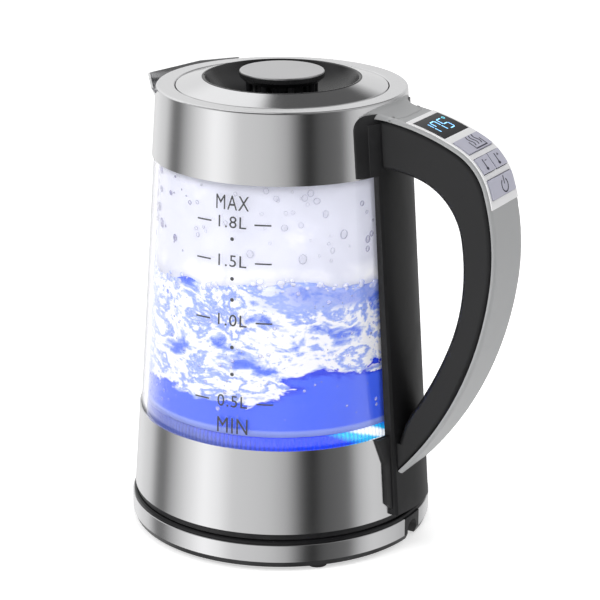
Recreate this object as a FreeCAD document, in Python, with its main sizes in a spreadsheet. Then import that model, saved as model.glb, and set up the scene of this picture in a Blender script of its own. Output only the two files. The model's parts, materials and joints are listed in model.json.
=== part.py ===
import FreeCAD, Part
import math
import os
import re
import Sketcher

# Cordless electric kettle with a glass jug on a power base. Millimetres.
# Frame: origin on the jug's axis at the surface the base stands on, +Z up,
# the handle towards +X and the spout towards -X.

SIZES = {
    # power base
    "base_radius": 78.0, "band_thick": 0.8, "shell_wall": 2.2, "foot_lift": 2.0, "floor_thick": 2.4,
    "band_bottom": 4.9, "band_top": 14.0, "base_top": 16.0, "tray_step": 1.2,
    "foot_radius": 5.0, "foot_inset": 7.5, "foot_turn": 45.0, "grip_inset": 14.0, "grip_wide": 4.0,
    # cord outlet in the base, below the handle
    "outlet_angle": 11.5, "outlet_fit": 0.4, "outlet_deep": 8.0, "cord_hole_radius": 4.7, "cord_hole_axis": 6.6,
    "clamp_inset": 18.0, "clamp_long": 5.0, "clamp_wide": 20.0, "clamp_top": 12.0, "clamp_bore": 3.4,
    "screw_radius": 1.4, "screw_head_radius": 2.6, "screw_head_thick": 1.2, "screw_clearance": 0.1,
    "clamp_screw_y": 7.0,
    # round connector between base and jug
    "socket_radius": 17.0, "socket_rise": 10.0, "spigot_inset": 4.4, "spigot_bottom": 8.0, "spigot_fit": 0.2,
    "slot_inner": 9.0, "slot_outer": 11.5, "bore_radius": 3.5, "contact_floor": 18.0, "contact_wall": 0.4,
    "collar_clearance": 0.4, "collar_wall": 3.0, "running_gap": 0.3,
    "pin_radius": 2.6, "blade_gap": 0.5, "pin_tip_gap": 1.5,
    "housing_wall": 6.0, "recess_clearance": 1.0, "housing_roof": 9.0,
    # steel skirt, glass and steel collar of the jug
    "steel_wall": 0.8, "skirt_bottom": 19.3, "skirt_bottom_radius": 76.5,
    "skirt_tall": 43.4, "skirt_top_radius": 73.6,
    "collar_tall": 35.3, "collar_bottom_radius": 65.3, "rim_top": 230.6, "rim_radius": 63.0,
    "rim_round": 1.3, "mouth_radius": 53.5, "mouth_lip": 6.6,
    "glass_wall": 2.6, "glass_gap": 0.15, "glass_sunk": 8.7, "glass_raised": 6.7,
    # underside and heating
    "cover_rise": 0.8, "cover_inset": 2.0, "cover_edge": 0.7,
    "plate_drop": 12.7, "plate_thick": 1.0, "plate_gap": 1.8, "seal_thick": 1.4,
    "seal_lap": 2.0, "seal_rise": 6.0, "guide_tall": 4.0, "guide_wide": 6.8,
    "rib_ring_tall": 8.0, "rib_ring_wall": 1.8, "rib_ring_gap": 0.6,
    "clamp_ring_wide": 7.9, "clamp_ring_gap": 2.5, "clamp_ring_thick": 2.5,
    "post_radius": 3.6, "post_inset": 6.9, "spreader_radius": 45.0, "spreader_thick": 4.0,
    "element_circle": 34.0, "element_radius": 3.6, "element_span": 310.0, "tail_drop": 9.0,
    "sensor_x": -22.0, "sensor_radius": 2.9, "sensor_flange": 5.0, "sensor_tall": 15.0, "sensor_rise": 7.0,
    "board_thick": 1.6, "led_wide": 3.4, "led_inset": 3.6,
    # inner ring, strainer and spout under the rim
    "head_seal_wide": 5.1, "head_seal_lap": 6.0, "head_seal_cap": 3.0,
    "ledge_reach": 2.7, "liner_wall": 1.4, "ledge_thick": 3.8, "shelf_rise": 4.5, "pour_half": 24.0,
    "strainer_gap": 3.5, "strainer_wall": 0.8, "strainer_angle": 44.0, "strainer_drop": 5.1,
    "strainer_slot": 1.4, "strainer_pitch": 4.4,
    "spout_reach": 16.2, "spout_drop": 3.8, "spout_mid_drop": 11.6, "spout_mid_reach": 14.2, "spout_foot_rise": 3.7,
    "spout_back": 50.0, "spout_half": 38.2, "spout_mid_half": 30.0,
    "spout_foot_half": 12.0, "spout_nose": 1.2, "pour_back": 57.0,
    # lid
    "lid_gap": 0.4, "lid_ring_drop": 4.6, "lid_ring_wide": 13.5, "lid_hub_rise": 3.7,
    "bead_rise": 4.3, "bead_width": 1.6, "bowl_drop": 8.3, "bowl_wall": 2.0, "bowl_margin": 2.7,
    "bowl_bend": 21.0, "lid_body_gap": 1.5, "lid_body_wall": 1.6, "lid_drop": 18.3, "lid_rest": 0.5,
    "inner_plate_rise": 0.7, "boss_inset": 12.0, "lid_seal_gap": 0.3,
    "lid_seal_rise": 2.7, "lid_seal_tall": 4.0,
    "finger_gap": 18.7, "knob_rise": 7.0, "knob_edge": 2.9, "knob_cap_inset": 0.2, "knob_neck_inset": 6.8, "knob_flare_inset": 2.4,
    "knob_flare_rise": 1.9, "post_pin_radius": 1.6, "post_pin_gap": 2.5, "post_pin_count": 8.0,
    # handle
    "strip_half": 18.0, "strip_bottom": 20.0, "strip_drop": 9.1, "strip_foot_front": 78.4,
    "strip_head_front": 63.7, "strip_edge": 1.2, "strip_crown": 60.0, "strip_back": 52.0,
    "strip_root_half": 22.8, "strip_root_step": 2.8,
    "saddle_thick": 1.7, "upper_saddle_half": 29.5, "upper_saddle_rise": 0.9, "upper_saddle_drop": 4.5,
    "saddle_corner": 7.0, "saddle_shift": 8.7, "lower_saddle_half": 26.6, "lower_saddle_waist": 21.8,
    "lower_saddle_corner": 5.0, "lower_saddle_drop": 0.5,
    "lower_saddle_bend": 14.7, "lower_saddle_rise": 2.5,
    "grip_half": 15.5, "grip_edge": 2.6, "cover_offset": 2.2, "cover_round": 2.0,
    "arch_x": 53.6, "arch_drop": 122.1, "top_radius": 115.0, "corner_radius": 29.35, "back_radius": 116.8,
    "low_radius": 181.0, "corner_from": 26.0, "corner_to": 72.5, "back_to": 96.3, "low_to": 132.7,
    "arch_root": 58.0,
    # palm side of the handle: heights are measured from the arcs' first centre
    "palm_low_x": 76.6, "palm_low_z": -50.5, "palm_bend_x": 86.0, "palm_bend_z": -28.5, "palm_bend_radius": 60.0,
    "palm_rise_radius": 200.0, "palm_back_x": 101.6, "palm_back_z": 3.1, "palm_back_radius": 104.2,
    "palm_corner_x": 107.2, "palm_corner_z": 61.2, "palm_corner_radius": 33.8,
    "palm_top_x": 84.0, "palm_top_z": 87.2, "palm_top_radius": 72.0, "palm_root_x": 69.9, "palm_root_z": 90.0,
    # control panel along the handle's top: angles are measured from +Z about the arcs' centres
    "panel_from": 11.5, "panel_to": 76.8, "panel_margin": 0.9, "panel_proud": 2.4, "panel_gap": 0.1,
    "bay_margin": 2.4, "bay_deep": 9.0, "window_from": 12.9, "window_to": 21.7, "window_margin": 1.2,
    "window_thick": 1.3, "window_proud": 2.3, "module_deep": 6.0, "module_margin": 1.4,
    "key_proud": 3.0, "key_deep": 1.9, "key_margin": 1.8, "key_gap": 0.35, "key_split": 0.8, "key_round": 0.6,
    "warm_angle": 27.0, "warm_long": 9.6, "level_angle": 49.5, "level_long": 8.5,
    "power_angle": 72.0, "power_long": 9.6, "switch_half": 2.2, "switch_top": 2.4, "switch_foot": 6.8,
    "board_deep": 8.0,
}

# sizes that follow from the ones above
FOLLOWING = {
    "foot_circle": "base_radius - foot_inset", "grip_outer": "base_radius - grip_inset",
    "clamp_x": "base_radius - clamp_inset",
    "spigot_radius": "socket_radius - spigot_inset", "ring_inner": "slot_inner + contact_wall + blade_gap",
    "ring_outer": "slot_outer - blade_gap", "housing_radius": "socket_radius + recess_clearance + housing_wall",
    "housing_top": "base_top + socket_rise + recess_clearance + housing_roof",
    "cover_hole": "housing_radius - cover_inset",
    "skirt_top": "skirt_bottom + skirt_tall", "collar_bottom": "rim_top - collar_tall",
    "glass_foot": "skirt_top - glass_sunk", "glass_head": "collar_bottom + glass_raised",
    "plate_bottom": "skirt_top - plate_drop", "seal_foot": "plate_bottom - seal_thick",
    "plate_radius": "skirt_top_radius - steel_wall - glass_wall - plate_gap",
    "seal_top": "glass_foot + seal_rise", "seal_inner": "plate_radius - seal_lap",
    "guide_bottom": "seal_foot - guide_tall", "guide_inner": "skirt_top_radius - steel_wall - guide_wide",
    "rib_ring_top": "seal_top + rib_ring_tall",
    "clamp_ring_outer": "plate_radius - clamp_ring_gap", "clamp_ring_inner": "clamp_ring_outer - clamp_ring_wide",
    "post_circle": "plate_radius - post_inset", "led_circle": "guide_inner + led_inset",
    "sensor_bottom": "plate_bottom - sensor_rise", "sensor_top": "sensor_bottom + sensor_tall",
    "head_seal_foot": "glass_head - head_seal_lap", "head_seal_top": "glass_head + head_seal_cap",
    "head_seal_inner": "collar_bottom_radius - steel_wall - head_seal_wide",
    "lid_bottom": "rim_top - lid_drop", "ledge_top": "lid_bottom - lid_rest",
    "ledge_bottom": "ledge_top - ledge_thick", "liner_ledge": "mouth_radius - ledge_reach",
    "liner_top": "rim_top - mouth_lip", "shelf_top": "head_seal_top + shelf_rise",
    "strainer_radius": "mouth_radius + liner_wall + strainer_gap", "strainer_top": "rim_top - strainer_drop",
    "spout_tip": "rim_radius + spout_reach", "spout_mid_tip": "rim_radius + spout_mid_reach",
    "spout_foot_tip": "collar_bottom_radius", "spout_top": "rim_top - spout_drop",
    "spout_mid": "rim_top - spout_mid_drop", "spout_foot": "collar_bottom + spout_foot_rise",
    "lid_hub_radius": "mouth_radius - lid_ring_wide", "bowl_floor": "rim_top - bowl_drop",
    "knob_radius": "lid_hub_radius - finger_gap", "knob_top": "rim_top + knob_rise",
    "knob_neck": "knob_radius - knob_neck_inset", "knob_flare": "knob_radius - knob_flare_inset",
    "knob_flare_height": "rim_top + knob_flare_rise", "post_pin_circle": "knob_neck + post_pin_gap",
    "bowl_floor_radius": "knob_radius + bowl_margin", "boss_radius": "bowl_floor_radius - boss_inset",
    "lid_body_radius": "mouth_radius - lid_body_gap", "lid_seal_radius": "mouth_radius - lid_seal_gap",
    "lid_seal_bottom": "lid_bottom + lid_seal_rise",
    "strip_top": "rim_top - strip_drop", "arch_z": "rim_top - arch_drop",
    "upper_saddle_bottom": "collar_bottom + upper_saddle_rise", "upper_saddle_top": "rim_top - upper_saddle_drop",
    "lower_saddle_top": "skirt_top - lower_saddle_drop", "lower_saddle_bottom": "skirt_bottom + lower_saddle_rise",
    "panel_half": "grip_half - panel_margin", "bay_half": "grip_half - bay_margin",
    "window_half": "panel_half - window_margin", "module_half": "window_half - module_margin",
    "key_half": "panel_half - key_margin",
}

FOOT_COUNT = 4
SCREW_COUNT = 3
LED_COUNT = 12
STRAINER_SLOTS = 9

doc = FreeCAD.newDocument("kettle")
sheet = doc.addObject("Spreadsheet::Sheet", "dims")
for row, (alias, number) in enumerate(SIZES.items(), start=1):
    sheet.set("A%d" % row, alias)
    sheet.set("B%d" % row, str(number))
    sheet.setAlias("B%d" % row, alias)
for row, (alias, rule) in enumerate(FOLLOWING.items(), start=len(SIZES) + 1):
    sheet.set("A%d" % row, alias)
    sheet.set("B%d" % row, "=" + rule)
    sheet.setAlias("B%d" % row, alias)
doc.recompute()

WORD = re.compile(r"[a-z][a-z_]*")
NAMES = set(SIZES) | set(FOLLOWING)
nodes = []


def linked(text):
    """Turn plain size names in an expression into references to the sheet."""
    return WORD.sub(lambda word: "dims." + word.group() if word.group() in NAMES else word.group(), str(text))


def value(text):
    """Value of an expression of size names, in millimetres or degrees."""
    result = sheet.evalExpression(linked(text))
    return float(getattr(result, "Value", result))


def bind(item, **expressions):
    """Drive an object's properties from the sheet; double underscores stand for dots."""
    for name, text in expressions.items():
        item.setExpression(name.replace("__", "."), linked(text))
    return item


def place(item, x="0", y="0", z="0"):
    bind(item, Placement__Base__x=x, Placement__Base__y=y, Placement__Base__z=z)
    return item


def node(item, label):
    """Name an object as one sub-part of the kettle."""
    item.Label = label
    nodes.append(item)
    return item


# ---------- outlines ----------

def arc_between(start, end, radius, turn):
    """Minor arc from start to end. turn is "left" or "right", the way the path bends."""
    chord = end - start
    middle = (start + end) * 0.5
    normal = FreeCAD.Vector(-chord.y, chord.x, 0).normalize()
    reach = math.sqrt(max(radius ** 2 - chord.Length ** 2 / 4, 0))
    centre = middle + normal * (reach if turn == "left" else -reach)
    first, last = (start, end) if turn == "left" else (end, start)
    angles = [math.atan2(p.y - centre.y, p.x - centre.x) for p in (first, last)]
    if angles[1] < angles[0]:
        angles[1] += 2 * math.pi
    circle = Part.Circle(centre, FreeCAD.Vector(0, 0, 1), radius)
    return Part.ArcOfCircle(circle, angles[0], angles[1])


def draw(sketch, outline):
    """Closed outline in a sketch. Each corner is (x, y), or (x, y, radius, turn) where an arc arrives at it."""
    corners = [FreeCAD.Vector(value(point[0]), value(point[1]), 0) for point in outline]
    count = len(outline)
    ends = []
    for index in range(count):
        following = (index + 1) % count
        arrival = outline[following]
        if len(arrival) == 2:
            sketch.addGeometry(Part.LineSegment(corners[index], corners[following]), False)
            ends.append((1, 2))
        else:
            radius, turn = arrival[2], arrival[3]
            sketch.addGeometry(arc_between(corners[index], corners[following], value(radius), turn), False)
            ends.append((1, 2) if turn == "left" else (2, 1))
            bound = sketch.addConstraint(Sketcher.Constraint("Radius", index, value(radius)))
            sketch.setExpression("Constraints[%d]" % bound, linked(radius))
    for index in range(count):
        following = (index + 1) % count
        sketch.addConstraint(Sketcher.Constraint("Coincident", index, ends[index][1],
                                                 following, ends[following][0]))
        for kind, text in (("DistanceX", outline[index][0]), ("DistanceY", outline[index][1])):
            rule = Sketcher.Constraint(kind, -1, 1, index, ends[index][0], value(text))
            bound = sketch.addConstraint(rule)
            sketch.setExpression("Constraints[%d]" % bound, linked(text))


def sketch_on(body, plane, outline, height=None):
    """Sketch on one of the body's origin planes, lifted along its normal by height."""
    sketch = body.newObject("Sketcher::SketchObject", body.Name + "_sketch")
    support = [item for item in body.Origin.OriginFeatures if item.Role == plane][0]
    sketch.AttachmentSupport = [(support, "")]
    sketch.MapMode = "FlatFace"
    if height is not None:
        sketch.setExpression("AttachmentOffset.Base.z", linked(height))
    draw(sketch, outline)
    return sketch


def turned(name, outline, angle="360"):
    """Body turned about Z from an outline of (radius, height), centred on the outline's side."""
    body = doc.addObject("PartDesign::Body", name)
    sketch = sketch_on(body, "XZ_Plane", outline)
    turning = body.newObject("PartDesign::Revolution", name + "_turned")
    turning.Profile = sketch
    turning.ReferenceAxis = (sketch, ["V_Axis"])
    turning.Midplane = True
    bind(turning, Angle=angle)
    return body


def slab(name, plane, outline, width):
    """Body padded evenly both ways from an origin plane."""
    body = doc.addObject("PartDesign::Body", name)
    sketch = sketch_on(body, plane, outline)
    pad = body.newObject("PartDesign::Pad", name + "_pad")
    pad.Profile = sketch
    pad.Midplane = True
    bind(pad, Length=width)
    return body


def lofted(name, sections):
    """Body lofted through outlines at given heights, with straight sides between them."""
    body = doc.addObject("PartDesign::Body", name)
    sketches = [sketch_on(body, "XY_Plane", outline, height) for height, outline in sections]
    loft = body.newObject("PartDesign::AdditiveLoft", name + "_loft")
    loft.Profile = sketches[0]
    loft.Sections = sketches[1:]
    loft.Ruled = True
    return body


def rounded(body, radius, chosen):
    """Fillet the body's edges for which chosen(edge) is true."""
    doc.recompute()
    base = body.Tip
    picked = ["Edge%d" % (index + 1) for index, edge in enumerate(base.Shape.Edges) if chosen(edge)]
    fillet = body.newObject("PartDesign::Fillet", body.Name + "_fillet")
    fillet.Base = (base, picked)
    bind(fillet, Radius=radius)
    return body


def box(name, low, high):
    """Box between two corners given as expressions."""
    item = doc.addObject("Part::Box", name)
    bind(item, Length="(%s) - (%s)" % (high[0], low[0]), Width="(%s) - (%s)" % (high[1], low[1]),
         Height="(%s) - (%s)" % (high[2], low[2]))
    return place(item, *low)


def rod(name, radius, bottom, top, x="0", y="0"):
    item = doc.addObject("Part::Cylinder", name)
    bind(item, Radius=radius, Height="(%s) - (%s)" % (top, bottom))
    return place(item, x, y, bottom)


def cut(name, base, *tools):
    """Cut the tools from the base, one after another."""
    result = base
    for index, tool in enumerate(tools):
        step = doc.addObject("Part::Cut", "%s_%d" % (name, index))
        step.Base = result
        step.Tool = tool
        result = step
    return result


def joined(name, items):
    result = doc.addObject("Part::MultiFuse", name)
    result.Shapes = items
    return result


def shared(name, first, second):
    result = doc.addObject("Part::Common", name)
    result.Base = first
    result.Tool = second
    return result


def around(circle, count, first_turn):
    """Expressions for x and y of count places round a circle about Z."""
    for index in range(count):
        turn = "(%s) + %g" % (first_turn, 360.0 * index / count)
        yield "(%s) * cos(%s)" % (circle, turn), "(%s) * sin(%s)" % (circle, turn)


# ---------- shared lines of the jug ----------

def skirt_radius(height):
    slope = "(skirt_bottom_radius - skirt_top_radius) / (skirt_top - skirt_bottom)"
    return "(skirt_top_radius + (skirt_top - (%s)) * %s)" % (height, slope)


def glass_radius(height):
    slope = "(skirt_top_radius - collar_bottom_radius) / (collar_bottom - skirt_top)"
    return "(skirt_top_radius - steel_wall - glass_gap + (skirt_top - (%s)) * %s)" % (height, slope)


def collar_radius(height):
    slope = "(collar_bottom_radius - rim_radius) / (rim_top - rim_round - collar_bottom)"
    return "(collar_bottom_radius - ((%s) - collar_bottom) * %s)" % (height, slope)


def jug_envelope(name):
    """Everything inside the jug's outer surface, to trim what sits on that surface."""
    return turned(name, [
        ("0", "skirt_bottom - 20"), (skirt_radius("skirt_bottom - 20"), "skirt_bottom - 20"),
        ("skirt_top_radius", "skirt_top"), (glass_radius("skirt_top"), "skirt_top"),
        (glass_radius("collar_bottom"), "collar_bottom"), ("collar_bottom_radius", "collar_bottom"),
        (collar_radius("rim_top + 10"), "rim_top + 10"), ("0", "rim_top + 10")])


# ---------- power base ----------

def cord_tunnel(name):
    """Arched notch for the cord, open to the underside."""
    arch = doc.addObject("Part::Cylinder", name + "_arch")
    bind(arch, Radius="cord_hole_radius", Height="outlet_deep * 2")
    arch.Placement.Rotation = FreeCAD.Rotation(FreeCAD.Vector(0, 1, 0), 90)
    place(arch, "base_radius - outlet_deep * 1.5", "0", "cord_hole_axis")
    sides = box(name + "_sides", ("base_radius - outlet_deep * 1.5", "-cord_hole_radius", "-1"),
                ("base_radius + outlet_deep / 2", "cord_hole_radius", "cord_hole_axis"))
    return joined(name, [arch, sides])


def build_base():
    tray = turned("tray_blank", [
        ("0", "foot_lift"), ("base_radius - tray_step", "foot_lift"), ("base_radius", "band_bottom"),
        ("base_radius - 4", "band_bottom"), ("base_radius - 4", "foot_lift + floor_thick"),
        ("0", "foot_lift + floor_thick")])
    node(cut("tray_cut", tray, cord_tunnel("tray_tunnel")), "base_tray")

    inside = "base_radius - band_thick"
    shell = turned("shell_blank", [
        ("spigot_radius + spigot_fit", "base_top"), (inside + " - 1", "base_top"),
        (inside, "base_top - 1", "1", "right"), (inside, "band_bottom"),
        (inside + " - shell_wall", "band_bottom"), (inside + " - shell_wall", "base_top - shell_wall"),
        ("spigot_radius + spigot_fit", "base_top - shell_wall")])
    half_window = "base_radius * sin(outlet_angle / 2)"
    window = box("outlet_window", ("base_radius - outlet_deep - 1", "-" + half_window, "band_bottom - 1"),
                 ("base_radius + 1", half_window, "band_top"))
    node(cut("shell_cut", shell, window), "base_shell")

    band = turned("base_band", [
        ("-base_radius", "band_bottom"), ("-base_radius", "band_top - band_thick / 3"),
        ("-(base_radius - band_thick / 3)", "band_top"), ("-(base_radius - band_thick)", "band_top"),
        ("-(base_radius - band_thick)", "band_bottom")], "360 - outlet_angle")
    node(band, "base_band")

    block = turned("outlet_blank", [
        ("base_radius - outlet_deep", "band_bottom"), ("base_radius", "band_bottom"),
        ("base_radius", "band_top"), ("base_radius - outlet_deep", "band_top")],
        "outlet_angle - outlet_fit")
    node(cut("outlet_cut", block, cord_tunnel("outlet_tunnel")), "cord_outlet")

    floor = "foot_lift + floor_thick"
    bar = box("clamp_blank", ("clamp_x", "-clamp_wide / 2", floor),
              ("clamp_x + clamp_long", "clamp_wide / 2", "clamp_top"))
    bore = doc.addObject("Part::Cylinder", "clamp_bore_tool")
    bind(bore, Radius="clamp_bore", Height="clamp_long + 2")
    bore.Placement.Rotation = FreeCAD.Rotation(FreeCAD.Vector(0, 1, 0), 90)
    place(bore, "clamp_x - 1", "0", "cord_hole_axis")
    middle = "clamp_x + clamp_long / 2"
    holes = []
    screws = []
    for side in ("-", ""):
        along = side + "clamp_screw_y"
        holes.append(rod("clamp_hole", "screw_radius + screw_clearance", floor, "clamp_top + 1", middle, along))
        screws.append(rod("clamp_shank", "screw_radius", floor, "clamp_top", middle, along))
        screws.append(rod("clamp_head", "screw_head_radius", "clamp_top", "clamp_top + screw_head_thick",
                          middle, along))
    node(cut("clamp_cut", bar, bore, *holes), "cord_clamp")
    node(joined("clamp_screw_set", screws), "clamp_screws")

    feet = [rod("foot", "foot_radius", "0", "foot_lift", x, y)
            for x, y in around("foot_circle", FOOT_COUNT, "foot_turn")]
    node(joined("foot_set", feet), "base_feet")
    node(turned("grip_ring", [("grip_outer - grip_wide", "0"), ("grip_outer", "0"),
                              ("grip_outer", "foot_lift"), ("grip_outer - grip_wide", "foot_lift")]),
         "base_grip_ring")


def build_socket():
    top = "base_top + socket_rise"
    node(turned("socket", [
        ("0", "spigot_bottom"), ("spigot_radius", "spigot_bottom"), ("spigot_radius", "base_top"),
        ("socket_radius", "base_top"), ("socket_radius", top + " - 1"), ("socket_radius - 1", top),
        ("slot_outer", top), ("slot_outer", "contact_floor"), ("slot_inner", "contact_floor"),
        ("slot_inner", top), ("bore_radius", top), ("bore_radius", "contact_floor"),
        ("0", "contact_floor")]), "base_socket")
    for label, wall, thickness in (("socket_ring_contact", "slot_inner", "contact_wall"),
                                   ("socket_centre_contact", "bore_radius", "-contact_wall")):
        sleeve = turned(label, [(wall, "contact_floor"), ("%s + %s" % (wall, thickness), "contact_floor"),
                                ("%s + %s" % (wall, thickness), top + " - 1"), (wall, top + " - 1")])
        node(sleeve, label)
    inner = "socket_radius + collar_clearance"
    foot = "base_top + running_gap"
    head = "skirt_bottom - running_gap"
    node(turned("shutter", [(inner, foot), (inner + " + collar_wall", foot),
                            (inner + " + collar_wall", head), (inner, head)]), "contact_collar")


# ---------- jug: underside and heating ----------

def build_underside():
    foot = "base_top + running_gap"
    lip = "skirt_bottom_radius - cover_edge"
    cover = turned("cover_blank", [
        ("cover_hole", foot + " + cover_rise"), (lip + " - 2.4", foot + " + cover_rise"),
        (lip + " - 2.4", foot), (lip, foot), (lip, "skirt_bottom"),
        (lip + " - 0.8", "skirt_bottom"), (lip + " - 1.2", "skirt_bottom + 5.7"),
        (lip + " - 2.8", "skirt_bottom + 5.7"), (lip + " - 2.8", "skirt_bottom"),
        ("cover_hole", "skirt_bottom")])
    tools = []
    screws = []
    posts = []
    head_top = foot + " + cover_rise + screw_head_thick"
    for x, y in around("post_circle", SCREW_COUNT, "60"):
        tools.append(rod("cover_hole", "screw_radius + screw_clearance", foot, "skirt_bottom + 1", x, y))
        tools.append(rod("cover_sink", "screw_head_radius + screw_clearance", foot, head_top, x, y))
        screws.append(rod("cover_head", "screw_head_radius", foot + " + cover_rise", head_top, x, y))
        screws.append(rod("cover_shank", "screw_radius", head_top, "skirt_bottom + 9", x, y))
        post = rod("post_blank", "post_radius", "skirt_bottom", "plate_bottom - clamp_ring_thick", x, y)
        pilot = rod("post_pilot", "screw_radius", "skirt_bottom - 1", "skirt_bottom + 9", x, y)
        posts.append(cut("post_cut", post, pilot))
    node(cut("cover_cut", cover, *tools), "jug_bottom_cover")
    node(joined("cover_screw_set", screws), "bottom_screws")
    node(joined("post_set", posts), "plate_posts")
    node(turned("skirt", [("skirt_bottom_radius", "skirt_bottom"), ("skirt_top_radius", "skirt_top"),
                          ("skirt_top_radius - steel_wall", "skirt_top"),
                          ("skirt_bottom_radius - steel_wall", "skirt_bottom")]), "jug_skirt")

    recess = "socket_radius + recess_clearance"
    roof = "base_top + socket_rise + recess_clearance"
    tip = "contact_floor + pin_tip_gap"
    node(turned("connector", [(recess, "skirt_bottom"), ("housing_radius", "skirt_bottom"),
                              ("housing_radius", "housing_top"), ("0", "housing_top"), ("0", roof),
                              (recess, roof)]), "jug_connector")
    node(rod("pin", "pin_radius", tip, roof), "connector_pin")
    node(turned("ring", [("ring_inner", tip), ("ring_outer", tip), ("ring_outer", roof),
                         ("ring_inner", roof)]), "connector_ring")


def build_heating():
    top = "plate_bottom + plate_thick"
    under = "plate_bottom - spreader_thick"
    plate = rod("plate_blank", "plate_radius", "plate_bottom", top)
    spreader = rod("spreader_blank", "spreader_radius", under, "plate_bottom")
    hole = rod("sensor_hole", "sensor_radius", "sensor_bottom", top + " + 1", "sensor_x")
    node(cut("plate_cut", plate, hole), "heating_plate")
    node(cut("spreader_cut", spreader, hole), "heat_spreader")
    probe = rod("probe", "sensor_radius", "sensor_bottom", "sensor_top", "sensor_x")
    flange = rod("probe_flange", "sensor_flange", top, top + " + 1", "sensor_x")
    node(joined("sensor_set", [probe, flange]), "temperature_sensor")

    middle = under + " - element_radius"
    loop = doc.addObject("Part::Torus", "element_loop")
    bind(loop, Radius1="element_circle", Radius2="element_radius", Angle3="element_span")
    loop.Placement.Rotation = FreeCAD.Rotation(FreeCAD.Vector(0, 0, 1), 1)
    bind(loop, Placement__Rotation__Angle="(360 - element_span) / 2")
    place(loop, z=middle)
    tails = [rod("element_tail", "element_radius * 0.6", middle + " - tail_drop", middle,
                 "element_circle * cos(%s)" % turn, "element_circle * sin(%s)" % turn)
             for turn in ("(360 - element_span) / 2 + 5", "(360 + element_span) / 2 - 5")]
    node(joined("element_set", [loop] + tails), "heating_element")

    node(turned("clamp_ring", [
        ("clamp_ring_inner", "plate_bottom - clamp_ring_thick"),
        ("clamp_ring_outer", "plate_bottom - clamp_ring_thick"),
        ("clamp_ring_outer", "plate_bottom"), ("clamp_ring_inner", "plate_bottom")]), "plate_ring")


def build_glass_and_light():
    edge = glass_radius("glass_foot")
    inner_foot = glass_radius("glass_foot") + " - glass_wall"
    inner_top = glass_radius("seal_top") + " - glass_wall"
    node(turned("glass", [
        (edge, "glass_foot"), (glass_radius("glass_head"), "glass_head"),
        (glass_radius("glass_head") + " - glass_wall", "glass_head"),
        (inner_foot, "glass_foot")]), "glass_jug")
    node(turned("foot_seal", [
        ("plate_radius", "seal_foot"), (edge, "seal_foot"), (edge, "glass_foot"),
        (inner_foot, "glass_foot"), (inner_top, "seal_top"), ("seal_inner", "seal_top"),
        ("seal_inner", "plate_bottom + plate_thick"), ("plate_radius", "plate_bottom + plate_thick")]),
        "glass_foot_seal")
    top_radius = glass_radius("rib_ring_top") + " - glass_wall - rib_ring_gap"
    node(turned("rib_ring", [
        (inner_top + " - rib_ring_gap", "seal_top"), (top_radius, "rib_ring_top"),
        (top_radius + " - rib_ring_wall", "rib_ring_top"),
        (inner_top + " - rib_ring_gap - rib_ring_wall", "seal_top")]), "ribbed_light_ring")
    node(turned("guide", [("guide_inner", "guide_bottom"), (edge, "guide_bottom"), (edge, "seal_foot"),
                          ("guide_inner", "seal_foot")]), "light_guide")
    board_top = "guide_bottom - board_thick"
    board_inner = "post_circle + post_radius + running_gap"
    node(turned("led_ring", [(board_inner, board_top + " - board_thick"), (edge, board_top + " - board_thick"),
                             (edge, board_top), (board_inner, board_top)]), "led_board")
    lamps = [rod("led", "led_wide / 2", board_top, "guide_bottom", x, y)
             for x, y in around("led_circle", LED_COUNT, "15")]
    node(joined("led_set", lamps), "leds")


# ---------- jug: collar, spout and inner ring ----------

def spout_section(tip, half, back, nose):
    return [("-(%s)" % back, "-(%s)" % half), ("-(%s)" % back, half),
            ("-(%s)" % tip, nose), ("-(%s)" % tip, "-(%s)" % nose)]


def spout_wedge(name, inset, back, top):
    """V-shaped wedge that grows out of the collar from its foot, straight on above the middle."""
    grow = "((%s) - spout_mid) / (spout_top - spout_mid)" % top
    top_tip = "spout_mid_tip + (spout_tip - spout_mid_tip) * %s" % grow
    top_half = "spout_mid_half + (spout_half - spout_mid_half) * %s" % grow
    sections = []
    for height, tip, half in (("spout_foot", "spout_foot_tip", "spout_foot_half"),
                              ("spout_mid", "spout_mid_tip", "spout_mid_half"),
                              (top, top_tip, top_half)):
        whole = "((%s) - %s)" % (tip, inset)
        nose = "spout_nose - %s / 2" % inset
        slope = "((%s) - (%s)) / ((%s) - spout_back)" % (half, "spout_nose", tip)
        wide = "(%s) + (%s) * (%s - (%s))" % (nose, slope, whole, back)
        sections.append((height, spout_section(whole, wide, back, nose)))
    return lofted(name, sections)


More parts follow.
